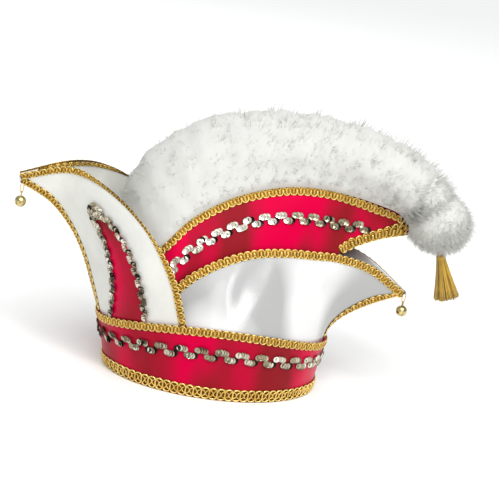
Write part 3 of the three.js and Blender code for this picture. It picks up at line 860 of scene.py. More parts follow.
@dataclass(frozen=True)
class Strand(Finish):
    """Fibre strands, such as feather down or yarn: each strand's tone runs from a shaded root to its tip."""

    shade: str = "#C0C0BC"
    light: str = "#D0D0CB"
    clump_mm: float = 16.0
    clump_weight: float = 0.5

    def colour_and_relief(self, tree: bpy.types.NodeTree) -> dict[str, object]:
        """Tone and slow clumps set the colour between the shaded and the lit fibre.

        Args:
            tree: the material's node tree.

        Returns:
            Sockets and values by the shader's input names.
        """
        tone = add_node(tree, "ShaderNodeAttribute", attribute_name="tone").outputs["Fac"]
        place = add_node(tree, "ShaderNodeTexCoord").outputs
        clump = add_node(tree, "ShaderNodeTexNoise", {
            "Vector": place["Object"], "Scale": 1 / (self.clump_mm * MM), "Detail": 2.0, "Roughness": 0.55})
        part = add_node(tree, "ShaderNodeMath", {0: clump.outputs["Fac"], 1: self.clump_weight, 2: tone},
                        operation="MULTIPLY_ADD")
        colour = add_node(tree, "ShaderNodeValToRGB", {"Fac": part.outputs["Value"]},
                          {0.3: self.shade, 1.0: self.light})
        return {"Base Color": colour.outputs["Color"]}


@dataclass(frozen=True)
class BellMetal(Finish):
    """Pressed brass with a thin bright plating: polished, with slight tarnish in clouds."""

    tarnish: str = "#8D7A45"
    polish: str = "#E6D59A"
    cloud_mm: float = 3.0
    rough: tuple[float, float] = (0.16, 0.34)

    def colour_and_relief(self, tree: bpy.types.NodeTree) -> dict[str, object]:
        """Clouds of tarnish change colour and roughness.

        Args:
            tree: the material's node tree.

        Returns:
            Sockets and values by the shader's input names.
        """
        place = add_node(tree, "ShaderNodeTexCoord").outputs
        cloud = add_node(tree, "ShaderNodeTexNoise", {
            "Vector": place["Object"], "Scale": 1 / (self.cloud_mm * MM), "Detail": 4.0, "Roughness": 0.6})
        rough = add_node(tree, "ShaderNodeMapRange", {
            "Value": cloud.outputs["Fac"], "To Min": self.rough[0], "To Max": self.rough[1]})
        colour = add_node(tree, "ShaderNodeValToRGB", {"Fac": cloud.outputs["Fac"]},
                          {0.3: self.tarnish, 0.62: self.polish})
        return {"Base Color": colour.outputs["Color"], "Roughness": rough.outputs["Result"]}


class Finishes:
    """The cap's finishes, each made once."""

    def __init__(self) -> None:
        """Makes every material."""
        made = (
            # Deep crimson painted as shade in the hollows, a painted highlight on the folds, and a pink tint
            # in the specular gloss.
            Satin("red_polyester_satin", "satin_red", roughness=0.36, specular=0.22),
            # The same weave in white: glossy bands with a painted highlight between grey hollows of painted
            # shade and painted reflection.
            Satin("white_polyester_satin", "satin_white", roughness=0.17, specular=0.8, gloss="#FFFFFF",
                  deep="#A6A6A5", bright="#DADAD9", crease_mm=(40.0, 70.0), drift=(0.4, 2.6, 0.0),
                  relief=0.5),
            # Matt and even, so the prow stands apart from the glossy hull.
            Felt("white_pressed_felt", "cloth_white", roughness=0.85, sheen=0.2, specular=0.25),
            # Gold loops with painted highlights, and brown gaps of painted shade.
            Gimp("gold_film_gimp", "braid", metallic=0.85, roughness=0.32),
            # Small pale mirrors with painted glints, and painted dark reflections on some.
            Sequin("champagne_film_sequins", "sequins", metallic=0.75, roughness=0.2),
            # A soft white with no gloss.
            Strand("white_marabou_down", "marabou", roughness=0.95, sheen=0.15, specular=0.1),
            # Silky gold strands.
            Strand("gold_rayon_yarn", "tassel_yarn", roughness=0.42, sheen=0.3, specular=0.5,
                   shade="#7E5C10", light="#D2AA3E", clump_mm=9.0),
            # A fine line, a little paler than the yarn.
            Strand("gold_twisted_thread", "thread", roughness=0.5, shade="#8F6A1E", light="#E3C574",
                   clump_mm=1.5),
            # Two polished dots under the horns.
            BellMetal("plated_pressed_brass", "bell_metal", metallic=1.0, roughness=0.22),
        )
        self.by_slot = {finish.slot: finish.material() for finish in made}

    def dress(self, shape: Shape, node: str, kind: str, slot: str, smooth: bool = True) -> None:
        """Makes a shape a piece with a slot's finish, standing for a CAD node.

        Args:
            shape: the finished shape.
            node: the CAD node that it stands for.
            kind: the word for what it is made of, which ends its name.
            slot: the record's material slot.
            smooth: whether its faces are shaded smooth.
        """
        made = shape.piece(f"{node}_{kind}", self.by_slot[slot], smooth)
        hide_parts(node)
        LOG.info("%s: %d faces", made.name, len(made.data.polygons))

    def dress_pair(self, shape: Shape, node: str, kind: str, slot: str, smooth: bool = True) -> None:
        """Makes a shape the left piece of a pair and its mirror image the right one, as dress does."""
        for side, made in zip(LEFT_AND_RIGHT, (shape, shape.mirrored())):
            self.dress(made, f"{node}_{side}", kind, slot, smooth)


def tucked(below: int, above: int) -> Array:
    """Rises of a wall that is tucked in under its seam: from -1 to the seam at 0, and on to 1."""
    return np.concatenate([np.linspace(-1, 0, below)[:-1], np.linspace(0, 1, above)])


@dataclass
class ClothWalls:
    """The cap's cloth walls: headband, prow, inserts, hull and crest."""

    finishes: Finishes
    thickness: float = 1.6
    insert_lift: float = 0.25
    insert_thickness: float = 0.7
    insert_edges: SizeTable = SizeTable(
        ("rise", "front", "rear"),
        (
            (0.02, 0.38, 0.725),
            (0.2, 0.455, 0.72),
            (0.4, 0.51, 0.72),
            (0.5, 0.53, 0.69),
            (0.575, 0.55, 0.6),
        ),
    )
    notch: float = 7.9
    underside_end: float = 10.6
    underside_gap: float = 1.0

    def walled(self, outer: Array, closed: bool = False) -> Shape:
        """A wall of the cloth's thickness behind a grid of points."""
        inner = outer - grid_normals(outer, closed) * self.thickness
        return Shape().add(*wall(outer, inner, closed))

    def headband(self) -> None:
        """The red band, right round."""
        turns, shares = np.meshgrid(np.linspace(0, 360, 200, endpoint=False), np.linspace(0, 1, 12))
        shape = self.walled(BAND.point(turns, shares), closed=True)
        self.finishes.dress(shape, "headband", "cloth", "satin_red")

    def prow(self) -> None:
        """The white front horn, from one free edge round the stem to the other."""
        across, rise = np.meshgrid(np.linspace(-1, 1, 81), tucked(6, 64))
        self.finishes.dress(self.walled(PROW.point(across, rise)), "prow", "cloth", "cloth_white")

    def inserts(self) -> None:
        """The red leaf on each side of the prow, a thin wall laid on it."""
        tip = self.insert_edges.rows[-1][0]
        shares, rises = np.meshgrid(np.linspace(0, 1, 24), np.linspace(0, tip, 60))
        front, rear = self.insert_edges.read("front", rises), self.insert_edges.read("rear", rises)
        across = mix(front, rear, shares)
        foot, normal = PROW.point(across, rises), PROW.normal(across, rises)
        lower = foot + normal * self.insert_lift
        shape = Shape().add(*wall(lower + normal * self.insert_thickness, lower))
        self.finishes.dress_pair(shape, "prow_insert", "cloth", "satin_red")

    def hull(self) -> None:
        """The white panels, right round from under the prow to the rear horn."""
        turns = np.concatenate([np.linspace(0, 60, 14)[:-1], np.linspace(60, 180, 80)])
        left = HULL.point(*np.meshgrid(turns, tucked(4, 42)))
        right = (left * (1, -1, 1))[:, ::-1][:, :-1]
        outer = np.concatenate([left, right], axis=1)
        self.finishes.dress(self.walled(outer, closed=True), "hull", "cloth", "satin_white")

    def crest(self) -> None:
        """The red crest over both sides, from one seam over the ridge to the other."""
        left = CREST.point(*np.meshgrid(np.linspace(0, CREST.end, 120), tucked(4, 28)))
        outer = np.concatenate([left, (left * (1, -1, 1))[::-1]])
        self.finishes.dress(self.walled(outer), "crest", "cloth", "satin_red")

    def underside(self) -> None:
        """The red panel that closes the crest's overhang from below, just inside its two seams."""
        inside = self.thickness + self.underside_gap
        reach, side = np.meshgrid(np.linspace(self.notch, self.underside_end, 40), np.linspace(-1, 1, 15))
        seam = CREST.point(reach, np.zeros_like(reach))
        half = np.abs(seam[..., 1]) - inside
        under = np.stack([seam[..., 0], half * side, seam[..., 2] + inside], axis=-1)
        shape = Shape().add(*wall(under + (0, 0, self.thickness), under))
        self.finishes.dress(shape, "crest_underside", "cloth", "satin_red")

    def build(self) -> None:
        """Makes every wall."""
        self.headband()
        self.prow()
        self.inserts()
        self.hull()
        self.crest()
        self.underside()


@dataclass
class Trail:
    """A path laid on a surface, measured in millimetres along it and to its side."""

    surface: Surface
    path: Path
    samples: int = 600

    def __post_init__(self) -> None:
        """Samples the path: its parameters, its normals, and the parameter step that moves 1 mm sideways."""
        share = np.linspace(0, 1, self.samples)
        u, v = (np.broadcast_to(x, share.shape).astype(float) for x in self.path(share))
        along_u, along_v = self.surface.slopes(u, v)
        normal = unit(np.cross(along_u, along_v))
        heading = along_u * np.gradient(u)[:, None] + along_v * np.gradient(v)[:, None]
        side = unit(np.cross(normal, heading))
        uu, vv = np.sum(along_u * along_u, axis=1), np.sum(along_v * along_v, axis=1)
        uv = np.sum(along_u * along_v, axis=1)
        su, sv = np.sum(side * along_u, axis=1), np.sum(side * along_v, axis=1)
        area = uu * vv - uv * uv
        steps = np.linalg.norm(np.diff(self.surface.point(u, v), axis=0), axis=1)
        self.distance = np.concatenate([[0], np.cumsum(steps)])
        self.length = float(self.distance[-1])
        self.share = share
        self.columns = np.stack(
            [u, v, (su * vv - sv * uv) / area, (sv * uu - su * uv) / area, *normal.T], axis=0)

    def at(self, distance: Array, beside: Array, height: Array) -> tuple[Array, Array]:
        """Points at a distance along the path, some way to its side on the surface and some height off it.

        Args:
            distance: millimetres along the path.
            beside: millimetres to its side.
            height: millimetres off the cloth.

        Returns:
            The points and the surface's normals there.
        """
        u, v, du, dv, *normal = (np.interp(distance, self.distance, column) for column in self.columns)
        normal = unit(np.stack(normal, axis=-1))
        foot = self.surface.point(u + du * beside, v + dv * beside)
        return foot + normal * np.asarray(height)[..., None], normal

    def share_at(self, distance: Array) -> Array:
        """The path's own share at a distance along it."""
        return np.interp(distance, self.distance, self.share)


@dataclass
class Cord:
    """One cord's line in its braid's own plane: distances along it, places to the side, heights and radii."""

    along: Array
    beside: Array
    height: Array
    radius: Array
    tone: float


# The place of each cord in a meander's tape, and its tone: a painted highlight on the two outer cords and
# painted shade on the middle one.
MEANDER_CORDS = ((-1, 0.84), (0, 0.36), (1, 0.72))
# For each cord of a chain: its phase in half turns, its shares of the reach and the thickness, and its tone,
# which paints the wide cords lighter and the narrow ones darker.
CHAIN_CORDS = ((0, 1, 1, 0.9), (1, 1, 1, 0.76), (0.5, 0.55, 0.85, 0.62), (1.5, 0.55, 0.85, 0.7))


@dataclass
class GimpBraid:
    """A gold gimp braid: a ribbed ribbon under cords that loop from edge to edge.

    It covers the strip from low to high, which are shares of its width to the side of its path.
    """

    node: str
    surface: Surface
    path: Path
    width: Callable[[Array], Array]
    low: float
    high: float
    closed: bool = False
    sided: bool = True
    weave: Weave = Weave.MEANDER
    wave: float = 6.6
    cord: float = 0.52
    cord_sides: int = 5
    cord_step: float = 2.35
    meander_lobe: float = 0.1
    chain_lobe: float = 0.08
    lift: float = 0.15
    ribbon_half: float = 0.43
    ribbon_thick: float = 0.35
    rib: float = 0.2
    # The ribbon's low tone is painted shade under the cords.
    ribbon_tone: float = 0.05
    steps_per_wave: int = 16
    ribbon_steps: int = 8
    folded: "GimpBraid | None" = None

    def meander(self, turn: Array, base: Array, wide: Array, wave_length: float) -> list[Cord]:
        """A tape of three cords: y = sin(t) with lobes broadened by a second harmonic along the braid.

        The outer cords run parallel to the middle one.

        Args:
            turn: the phase at each step.
            base: millimetres along the braid at each step.
            wide: the braid's width at each step.
            wave_length: millimetres for each whole wave.

        Returns:
            The three cords.
        """
        radius = np.minimum(self.cord, wide * 0.1)
        step = self.cord_step * radius
        spread = wide / 2 - radius - step
        along = base - self.meander_lobe * wave_length * np.sin(2 * turn)
        beside = wide * (self.low + self.high) / 2 + spread * np.sin(turn)
        slope = np.stack([np.gradient(along), np.gradient(beside)])
        slope = slope / np.maximum(np.linalg.norm(slope, axis=0), 1e-9)
        made = []
        for place, tone in MEANDER_CORDS:
            height = self.lift + radius * (1.2 + 0.5 * np.cos(turn) ** 2 - 0.2 * abs(place))
            parallel = along - slope[1] * step * place, beside + slope[0] * step * place
            made.append(Cord(*parallel, height, radius, tone))
        return made

    def chain(self, turn: Array, base: Array, wide: Array, wave_length: float) -> list[Cord]:
        """Four such lines, two wide and two narrow, that cross two by two in opposite phase.

        Args:
            turn: the phase at each step.
            base: millimetres along the braid at each step.
            wide: the braid's width at each step.
            wave_length: millimetres for each whole wave.

        Returns:
            The four cords.
        """
        made = []
        for phase, reach, thick, tone in CHAIN_CORDS:
            swing = turn + phase * math.pi
            radius = np.minimum(self.cord * thick, wide * 0.2)
            along = base - self.chain_lobe * wave_length * reach * np.sin(2 * swing)
            beside = wide * (self.low + self.high) / 2 + (wide / 2 - radius) * reach * np.sin(swing)
            height = self.lift + radius * (1.25 + 0.45 * np.cos(swing))
            made.append(Cord(along, beside, height, radius, tone))
        return made

    def cords(self, shape: Shape, trail: Trail, waves: int) -> None:
        """Adds the cords as tubes laid along the braid.

        Args:
            shape: the shape that they are added to.
            trail: the braid's measured path.
            waves: whole waves along the braid.
        """
        turn = np.linspace(0, FULL_TURN * waves, waves * self.steps_per_wave, endpoint=not self.closed)
        wave_length = trail.length / waves
        base = turn / FULL_TURN * wave_length
        wide = self.width(trail.share_at(np.clip(base, 0, trail.length)))
        run = self.meander if self.weave is Weave.MEANDER else self.chain
        for line in run(turn, base, wide, wave_length):
            along = line.along % trail.length if self.closed else np.clip(line.along, 0, trail.length)
            centre, normal = trail.at(along, line.beside, line.height)
            # Each cord's painted tone, a painted highlight on each loop's turn, and a slow drift in tone
            # along the cord.
            painted_cord_light = line.tone - 0.1 + 0.34 * np.sin(turn) ** 4 - 0.08 * np.sin(turn * 0.37 + 5 * line.tone)
            tone = np.broadcast_to(painted_cord_light[None, :, None], (1, len(turn), self.cord_sides))
            tube = tubes(centre[None], normal[None], line.radius[None], self.cord_sides, self.closed)
            shape.add(*tube, tone=tone)

    def ribbon(self, shape: Shape, trail: Trail, waves: int) -> None:
        """Adds the ribbon under the cords: a thin wall that swells into two ribs in each wave.

        Args:
            shape: the shape that it is added to.
            trail: the braid's measured path.
            waves: whole waves along the braid.
        """
        distance = np.linspace(0, trail.length, waves * self.ribbon_steps, endpoint=not self.closed)
        wide = self.width(trail.share_at(distance))
        across = np.linspace(-self.ribbon_half, self.ribbon_half, 5)[:, None]
        beside = wide * ((self.low + self.high) / 2 + across)
        rib = self.rib * np.abs(np.sin(distance * FULL_TURN * waves / trail.length)) * np.ones_like(beside)
        run = np.broadcast_to(distance, beside.shape)
        top, _ = trail.at(run, beside, self.lift + self.ribbon_thick + rib)
        under, _ = trail.at(run, beside, np.full_like(beside, self.lift * 0.5))
        # The ribbon's tone paints shade under the cords.
        shape.add(*wall(top, under, self.closed), tone=self.ribbon_tone)

    def lay(self, shape: Shape) -> None:
        """Adds the braid along its path, and the part of it that is folded to the inside.

        Args:
            shape: the shape that it is added to.
        """
        trail = Trail(self.surface, self.path)
        waves = max(round(trail.length / self.wave), 2)
        self.ribbon(shape, trail, waves)
        self.cords(shape, trail, waves)
        if self.folded is not None:
            self.folded.lay(shape)

    def build(self, finishes: Finishes) -> None:
        """Makes the braid, on both sides where the cap has a pair.

        Args:
            finishes: the cap's finishes.
        """
        shape = Shape()
        self.lay(shape)
        dress = finishes.dress_pair if self.sided else finishes.dress
        dress(shape, self.node, "gimp", "braid")


# A sequin's closed profile, from its centre hole along the cup's face and back along its rear, as radii and
# heights in shares of its radius.
SEQUIN_PROFILE = (
    (0.17, 0), (0.6, 0.03), (0.84, 0.12), (1, 0.2), (0.99, 0.25), (0.8, 0.18), (0.3, 0.07), (0.17, 0.06))


@dataclass
class SequinTrim:
    """A string of cupped sequins that overlap like shingles and sway in groups to either side of a line."""

    node: str
    surface: Surface
    path: Path
    sway: float
    wave: float = 18.5
    group: int = 3
    radius: float = 3.2
    lift: float = 0.9
    tilt: float = 0.2
    scatter: float = 0.09
    bright: float = 0.63
    vary: float = 0.14
    drift: float = 0.15
    turned: float = 0.75  # the share of whole waves whose last disc gets a painted dark reflection
    stray: float = 0.05  # the share of all discs that get a painted dark reflection too
    edge_shade: float = 0.3
    # Painted reflection that dims towards the end of the line.
    painted_rear_dimming: float = 0.0
    knot: int = 0
    knot_radius: float = 8.0
    sided: bool = True
    sides: int = 12
    seed: int = 5

    def disc(self) -> tuple[Array, Array, Array]:
        """One sequin: a closed profile of a shallow cup with a centre hole, turned round its axis.

        Returns:
            Its points, its faces and their cloth coordinates.
        """
        profile = np.array(SEQUIN_PROFILE) * self.radius
        turn = np.linspace(0, FULL_TURN, self.sides, endpoint=False)
        out, height = profile[:, :1], profile[:, 1:]
        points = np.stack(np.broadcast_arrays(out * np.cos(turn), out * np.sin(turn), height), axis=-1)
        numbers = np.arange(points.shape[0] * self.sides).reshape(-1, self.sides)
        numbers = np.concatenate([numbers, numbers[:1]])
        faces = cells(np.concatenate([numbers, numbers[:, :1]], axis=1))[:, ::-1]
        flat = points.reshape(-1, 3)
        return flat, faces, flat[faces][..., :2] * MM

    def stations(self, trail: Trail) -> tuple[Array, Array, Array]:
        """Where the discs sit: in groups to either side of the line in turn, and in a knot at its end.

        Args:
            trail: the string's measured path.

        Returns:
            Distances along, places to the side and heights.
        """
        count = max(round(trail.length / self.wave), 1) * 2 * self.group
        step, knot = np.arange(count), np.arange(self.knot)
        side = np.where(step // self.group % 2 == 0, 1.0, -1.0)
        arch = np.sin(math.pi * (step % self.group + 0.5) / self.group)
        reach = self.knot_radius * np.sqrt((knot + 0.5) / max(self.knot, 1))
        knot_along = trail.length - self.knot_radius + reach * np.cos(knot * GOLDEN_TURN)
        knot_beside = reach * np.sin(knot * GOLDEN_TURN)
        along = np.concatenate([(step + 0.5) * trail.length / count, knot_along])
        beside = np.concatenate([self.sway * side * mix(0.7, 1.0, arch), knot_beside])
        height = np.concatenate([0.12 * (step % self.group), 1.2 - 0.1 * knot])
        return along, beside, self.lift + height

    def tones(self, count: int, draw: np.random.Generator) -> Array:
        """Each disc's tone: a painted bright reflection with a slow drift that dims towards the end of the
        line, and a painted dark reflection on the last disc of most groups and on a few strays.

        Args:
            count: how many discs.
            draw: the seeded draws.

        Returns:
            A tone for each disc.
        """
        step = np.arange(count)
        bright = draw.normal(self.bright, self.vary, count) + self.drift * np.sin(step * 0.31 + self.seed)
        bright = bright - self.painted_rear_dimming * ease(step / count, 0.5, 0.8)
        last = step % (2 * self.group) == 2 * self.group - 1
        turned = last & (draw.uniform(0, 1, count) < self.turned)
        stray = draw.uniform(0, 1, count) < self.stray
        return np.where(turned | stray, 0.0, np.clip(bright, 0.2, 1.0))

    def build(self, finishes: Finishes) -> None:
        """Sets the discs along the swaying line, each leaning on the one before it.

        Args:
            finishes: the cap's finishes.
        """
        trail = Trail(self.surface, self.path)
        draw = np.random.default_rng(self.seed)
        along, beside, height = self.stations(trail)
        count = len(along)
        centre, up = trail.at(along, beside, height)
        heading = unit(trail.at(along + 1, beside, height)[0] - trail.at(along - 1, beside, height)[0])
        lean = self.tilt + draw.normal(0, self.scatter, count)
        roll = draw.normal(0, self.scatter, count)
        cross = np.cross(up, heading)
        axis = unit(up - heading * np.tan(lean)[:, None] + cross * np.tan(roll)[:, None])
        first = unit(np.cross(cross, axis))
        frames = np.stack([first, np.cross(axis, first), axis], axis=1)
        points, faces, corners = self.disc()
        placed = centre[:, None] + np.einsum("pi,kij->kpj", points, frames)
        numbers = (faces[None] + np.arange(count)[:, None, None] * len(points)).reshape(-1, 4)
        outline = np.linalg.norm(points[:, :2], axis=1) / self.radius
        # Painted shade on each disc's outer rim and round its hole.
        shade = np.where((outline > 0.95) | (outline < 0.2), self.edge_shade, 1.0)
        tone = self.tones(count, draw)[:, None] * shade
        shape = Shape().add(placed, [(numbers, np.tile(corners, (count, 1, 1)))], tone=tone)
        dress = finishes.dress_pair if self.sided else finishes.dress
        dress(shape, self.node, "discs", "sequins", smooth=False)


def level_path(v: float, start: float, end: float) -> Path:
    """A path along a surface at one v, from one u to another."""
    return lambda share: (mix(start, end, share), np.full(np.shape(share), v))


def rising_path(u: float, start: float, end: float) -> Path:
    """A path up a surface at one u, from one v to another."""
    return lambda share: (np.full(np.shape(share), u), mix(start, end, share))


@dataclass
class Trims:
    """Every braid and every sequin trim of the cap."""

    finishes: Finishes
    walls: ClothWalls
    width: float = 8.6
    rim_width: float = 11.8
    least: float = 1.4  # what a braid keeps where the prow's panel runs out at its tip
    band_sequins_at: float = 0.65
    crest_sequins_at: float = 0.27

    def full(self, share: Array) -> Array:
        """The braid's full width all along."""
        return np.full(np.shape(share), self.width)

    def rim(self, share: Array) -> Array:
        """The wider braid's width along the rim."""
        return np.full(np.shape(share), self.rim_width)

    def half_panel(self, share: Array) -> Array:
        """Half of the prow's panel, the most that each of its two braids can cover."""
        return 0.5 * PROW.panel_width(np.clip(share, 0, 0.985)) + self.least

    def stem_width(self, share: Array) -> Array:
        """The width on the stem: broad where the bow is round, and narrow with the panel at the tip."""
        return np.clip(self.half_panel(share), 0, self.width * mix(1.6, 0.85, ease(share, 0.1, 0.7)))

    def edge_width(self, share: Array) -> Array:
        """The width on the prow's free edge, which is narrow along its middle."""
        narrow = self.width * (0.86 - 0.56 * ease(share, 0.2, 0.42) + 0.48 * ease(share, 0.6, 0.8))
        return np.clip(self.half_panel(share), 0, narrow)

    def fold_width(self, share: Array) -> Array:
        """The width of the part folded to the inside of the prow's edge, which tapers at both ends."""
        return self.width * mix(0.12, 0.5, ease(share, 0, 0.4) * ease(1 - np.asarray(share), 0, 0.15))

    def stern_width(self, share: Array) -> Array:
        """The width on the stern, which tapers where it runs into the hull's braid."""
        return self.width * mix(1.0, 0.5, ease(share, 0.75, 1.0))

    def crest_width(self, share: Array) -> Array:
        """The width on the crest, which narrows over its last stretch."""
        return np.minimum(self.width, mix(self.width * 2.6, self.width * 0.65, np.asarray(share)))

    def braids(self) -> list[GimpBraid]:
        """The braids with their lines on the cloth.

        Returns:
            The braids, in the order that they are made.
        """
        round_band = {"closed": True, "sided": False}
        chain = {"weave": Weave.CHAIN, "wave": 14.6, "cord": 0.75, "steps_per_wave": 24}
        rim, top = level_path(0, 0, 360), level_path(1, 0, 360)
        stem, edge = rising_path(0.004, -0.03, 0.996), rising_path(1, -0.03, 0.996)
        inside = rising_path(1, 0.46, 0.93)
        fold = GimpBraid("prow_edge_fold", ProwInside(), inside, self.fold_width, -0.8, 0.2)
        crest, tip = level_path(0.5, 1.6, 10.4), level_path(0.002, 8, 10.85)
        return [
            GimpBraid("band_braid_rim", BAND, rim, self.rim, 0.045, 1.045, **round_band, **chain),
            GimpBraid("band_braid_top", BAND, top, self.full, -0.86, 0.14, **round_band),
            GimpBraid("prow_stem_braid", PROW, stem, self.stem_width, -1, 0),
            GimpBraid("prow_edge_braid", PROW, edge, self.edge_width, -0.35, 0.65, folded=fold),
            GimpBraid("hull_braid", HULL, level_path(1, 68, 179.4), self.full, -0.9, 0.1),
            GimpBraid("stern_braid", HULL, rising_path(180, 0.01, 0.93), self.stern_width, 0, 1, lift=0.4),
            GimpBraid("crest_braid", CREST, crest, self.crest_width, -0.5, 0.5),
            GimpBraid("crest_tip_braid", CREST, tip, self.crest_width, -0.1, 0.9),
        ]

    def insert_path(self, column: str, top: float) -> Path:
        """The line along one edge of the prow's insert, up to a rise.

        Args:
            column: the edge, front or rear.
            top: the rise where the line ends.

        Returns:
            The path.
        """
        def path(share: Array) -> tuple[Array, Array]:
            """The share of the panel and the rise."""
            rise = mix(0.01, top, share)
            return self.walls.insert_edges.read(column, rise), rise
        return path

    def crest_path(self, share: Array) -> tuple[Array, Array]:
        """The sequins' line on the crest, which sinks a little towards the rear."""
        return mix(1.6, 9.0, share), self.crest_sequins_at * mix(1, 0.92, share)

    def sequins(self) -> list[SequinTrim]:
        """The sequin trims with their lines on the cloth.

        Returns:
            The trims, in the order that they are made.
        """
        on_crest = {"sway": 2.7, "wave": 15.5, "bright": 1.15, "painted_rear_dimming": 0.75}
        on_insert = {"sway": 1.3, "wave": 12.0, "radius": 2.7, "lift": 1.9, "tilt": 0.3, "scatter": 0.16}
        round_band = level_path(self.band_sequins_at, 0, 360)
        front, rear = self.insert_path("front", 0.56), self.insert_path("rear", 0.59)
        return [
            SequinTrim("band_sequins", BAND, round_band, sway=3.2, group=4, sided=False),
            SequinTrim("crest_sequins", CREST, self.crest_path, **on_crest),
            SequinTrim("prow_sequins_front", PROW, front, **on_insert),
            SequinTrim("prow_sequins_rear", PROW, rear, seed=8, knot=14, **on_insert),
        ]

    def build(self) -> None:
        """Makes every trim."""
        for trim in [*self.braids(), *self.sequins()]:
            trim.build(self.finishes)


@dataclass
class Marabou:
    """The white marabou boa: tufts of fine down on the crest's ridge, and its tail over the tassel."""

    finishes: Finishes
    first: float = 0.7
    foot: float = 0.535
    rear_foot: float = 0.59
    foot_share: float = 0.3
    core_share: float = 0.84
    core_lift: float = 0.8
    tuft: float = 9.0
    tuft_share: float = 0.34
    root_share: float = 0.35
    root_spread: float = 0.45
    tip_scatter: float = 1.0
    bend_scatter: float = 1.2
    fringe: float = 3.5
    ridge_droop: Place = (3.5, 0.0, -1.0)
    ridge_rows: int = 46
    ridge_columns: int = 13
    ridge_strands: int = 22
    tail_strands: int = 34
    tail_balls: tuple[tuple[int, Place, Place], ...] = (
        (210, (193.0, 0.0, 175.5), (34.0, 31.0, 31.5)),
        (110, (177.0, 0.0, 196.5), (30.0, 28.0, 28.0)),
        (50, (168.5, 0.0, 188.0), (18.0, 23.0, 18.0)),
    )
    thick: tuple[float, float] = (0.34, 0.07)
    # The cores' tones: the ridge's core is darker, as painted shade between the tufts, and the tail's core is
    # lighter, as painted light that lifts its shade.
    ridge_core_tone: float = 0.55
    tail_core_tone: float = 0.8
    seed: int = 11
    depth: SizeTable = SizeTable(
        ("at", "depth"),
        ((0.7, 12), (2, 20), (3, 28), (4, 32), (6, 33), (8, 36), (10, 40), (11, 38)),
    )

    def saddle(self, at: Array, girth: Array) -> tuple[Array, Array, Array]:
        """The boa's seat on the crest, its outward direction and its depth there.

        The girth runs from the left foot, -1, over the ridge, 0, to the right foot, 1. The direction turns
        from the crest's own normal at the sides to straight off the ridge line on top, and the depth falls
        to its foot share.

        Args:
            at: stations.
            girth: places round the boa.

        Returns:
            Points, unit directions and depths.
        """
        far = np.abs(girth)
        rise = 1 - far * (1 - mix(self.foot, self.rear_foot, ease(at, 7.0, 10.5)))
        flip = np.stack([np.ones_like(far), np.where(girth > 0, -1.0, 1.0), np.ones_like(far)], axis=-1)
        seat = CREST.point(at, rise) * flip
        side = CREST.normal(at, rise) * flip
        along, _ = CREST.slopes(at, np.ones_like(rise))
        top = unit(np.stack([-along[..., 2], np.zeros_like(far), along[..., 0]], axis=-1))
        blend = ease(far, -0.1, 0.5)[..., None]
        out = unit(mix(top, side, blend))
        reach = self.depth.read("depth", at) * mix(1.0, self.foot_share, ease(far, 0.1, 1.0))
        return seat, out, reach

    def down(self, seat: Array, out: Array, reach: Array, each: int, draw: np.random.Generator,
             droop: Array) -> Shape:
        """Tufts of down: strands that fan from each tuft's root into a dome.

        Args:
            seat, out, reach: each tuft's seat, direction and depth.
            each: strands in each tuft.
            draw: the seeded draws.
            droop: how far the tips lean, as a vector for each tuft or one for all.

        Returns:
            The shape of all strands.
        """
        count = len(seat)
        aside = unit(np.cross(out, draw.normal(size=(count, 3))))
        other = np.cross(out, aside)
        ring = np.sqrt(draw.uniform(0, 1, (count, each)))
        turn = draw.uniform(0, FULL_TURN, (count, each))
        fan = aside[:, None] * (ring * np.cos(turn))[..., None]
        fan = fan + other[:, None] * (ring * np.sin(turn))[..., None]
        size = draw.uniform(0.95, 1.05, (count, 1)) * (1 - 0.2 * ring**2)
        size = size + draw.normal(0, 0.04, (count, each))
        spread = np.minimum(self.tuft, self.tuft_share * reach)[:, None, None]
        high = (reach[:, None] * size)[..., None]
        root = seat[:, None] + out[:, None] * self.root_share * reach[:, None, None]
        root = root + fan * spread * self.root_spread
        tip = seat[:, None] + out[:, None] * high + fan * spread + np.reshape(droop, (-1, 1, 3))
        tip = tip + draw.normal(0, self.tip_scatter, tip.shape)
        bend = mix(root, tip, 0.6) + out[:, None] * 0.1 * high
        bend = bend + draw.normal(0, self.bend_scatter, tip.shape)
        # Painted shade: each strand is darker at its root than at its tip, over a random tone.
        along = np.array([0.7, 0.95, 1.0]).reshape(1, 1, 3, 1)
        tone = draw.uniform(0.55, 0.95, (count, each, 1, 1)) * along
        flat = (root.reshape(-1, 3), bend.reshape(-1, 3), tip.reshape(-1, 3))
        points, faces = strands(*flat, self.thick, 3, draw)
        tones = np.broadcast_to(tone.reshape(-1, 3, 1), points.shape[:3])
        return Shape().add(points, faces, tone=tones)

    def clumps(self, at: Array, girth: Array) -> Array:
        """How far the down swells in soft clumps: products of slow sines, and scallops along the ridge.

        Args:
            at: stations.
            girth: places round the boa.

        Returns:
            Shares of the depth, about zero.
        """
        slow = np.sin(7 * at + 3 * girth) * np.sin(9 * girth + 2 * at)
        scallops = np.sin(14 * at - 5 * girth**2) * np.sin(3.1 * at + 1)
        return 0.04 * slow + 0.05 * scallops

    def core(self) -> tuple[Array, Faces]:
        """The soft core under the ridge's tufts: a wall that swells in clumps and thins at its rims.

        Returns:
            The wall's points and faces.
        """
        at, girth = np.meshgrid(np.linspace(self.first, CREST.end, 80), np.linspace(-1, 1, 25))
        seat, out, reach = self.saddle(at, girth)
        swell = self.core_share + self.clumps(at, girth)
        swell = swell * np.sqrt(ease(at, self.first - 0.2, self.first + 1.2))
        swell = swell * np.sqrt(ease(1 - np.abs(girth), -0.02, 0.12))
        swell = swell * mix(0.25, 1, np.sqrt(ease(CREST.end - at, 0.0, 1.3)))
        return wall(seat + out * (reach * swell)[..., None], seat + out * self.core_lift)

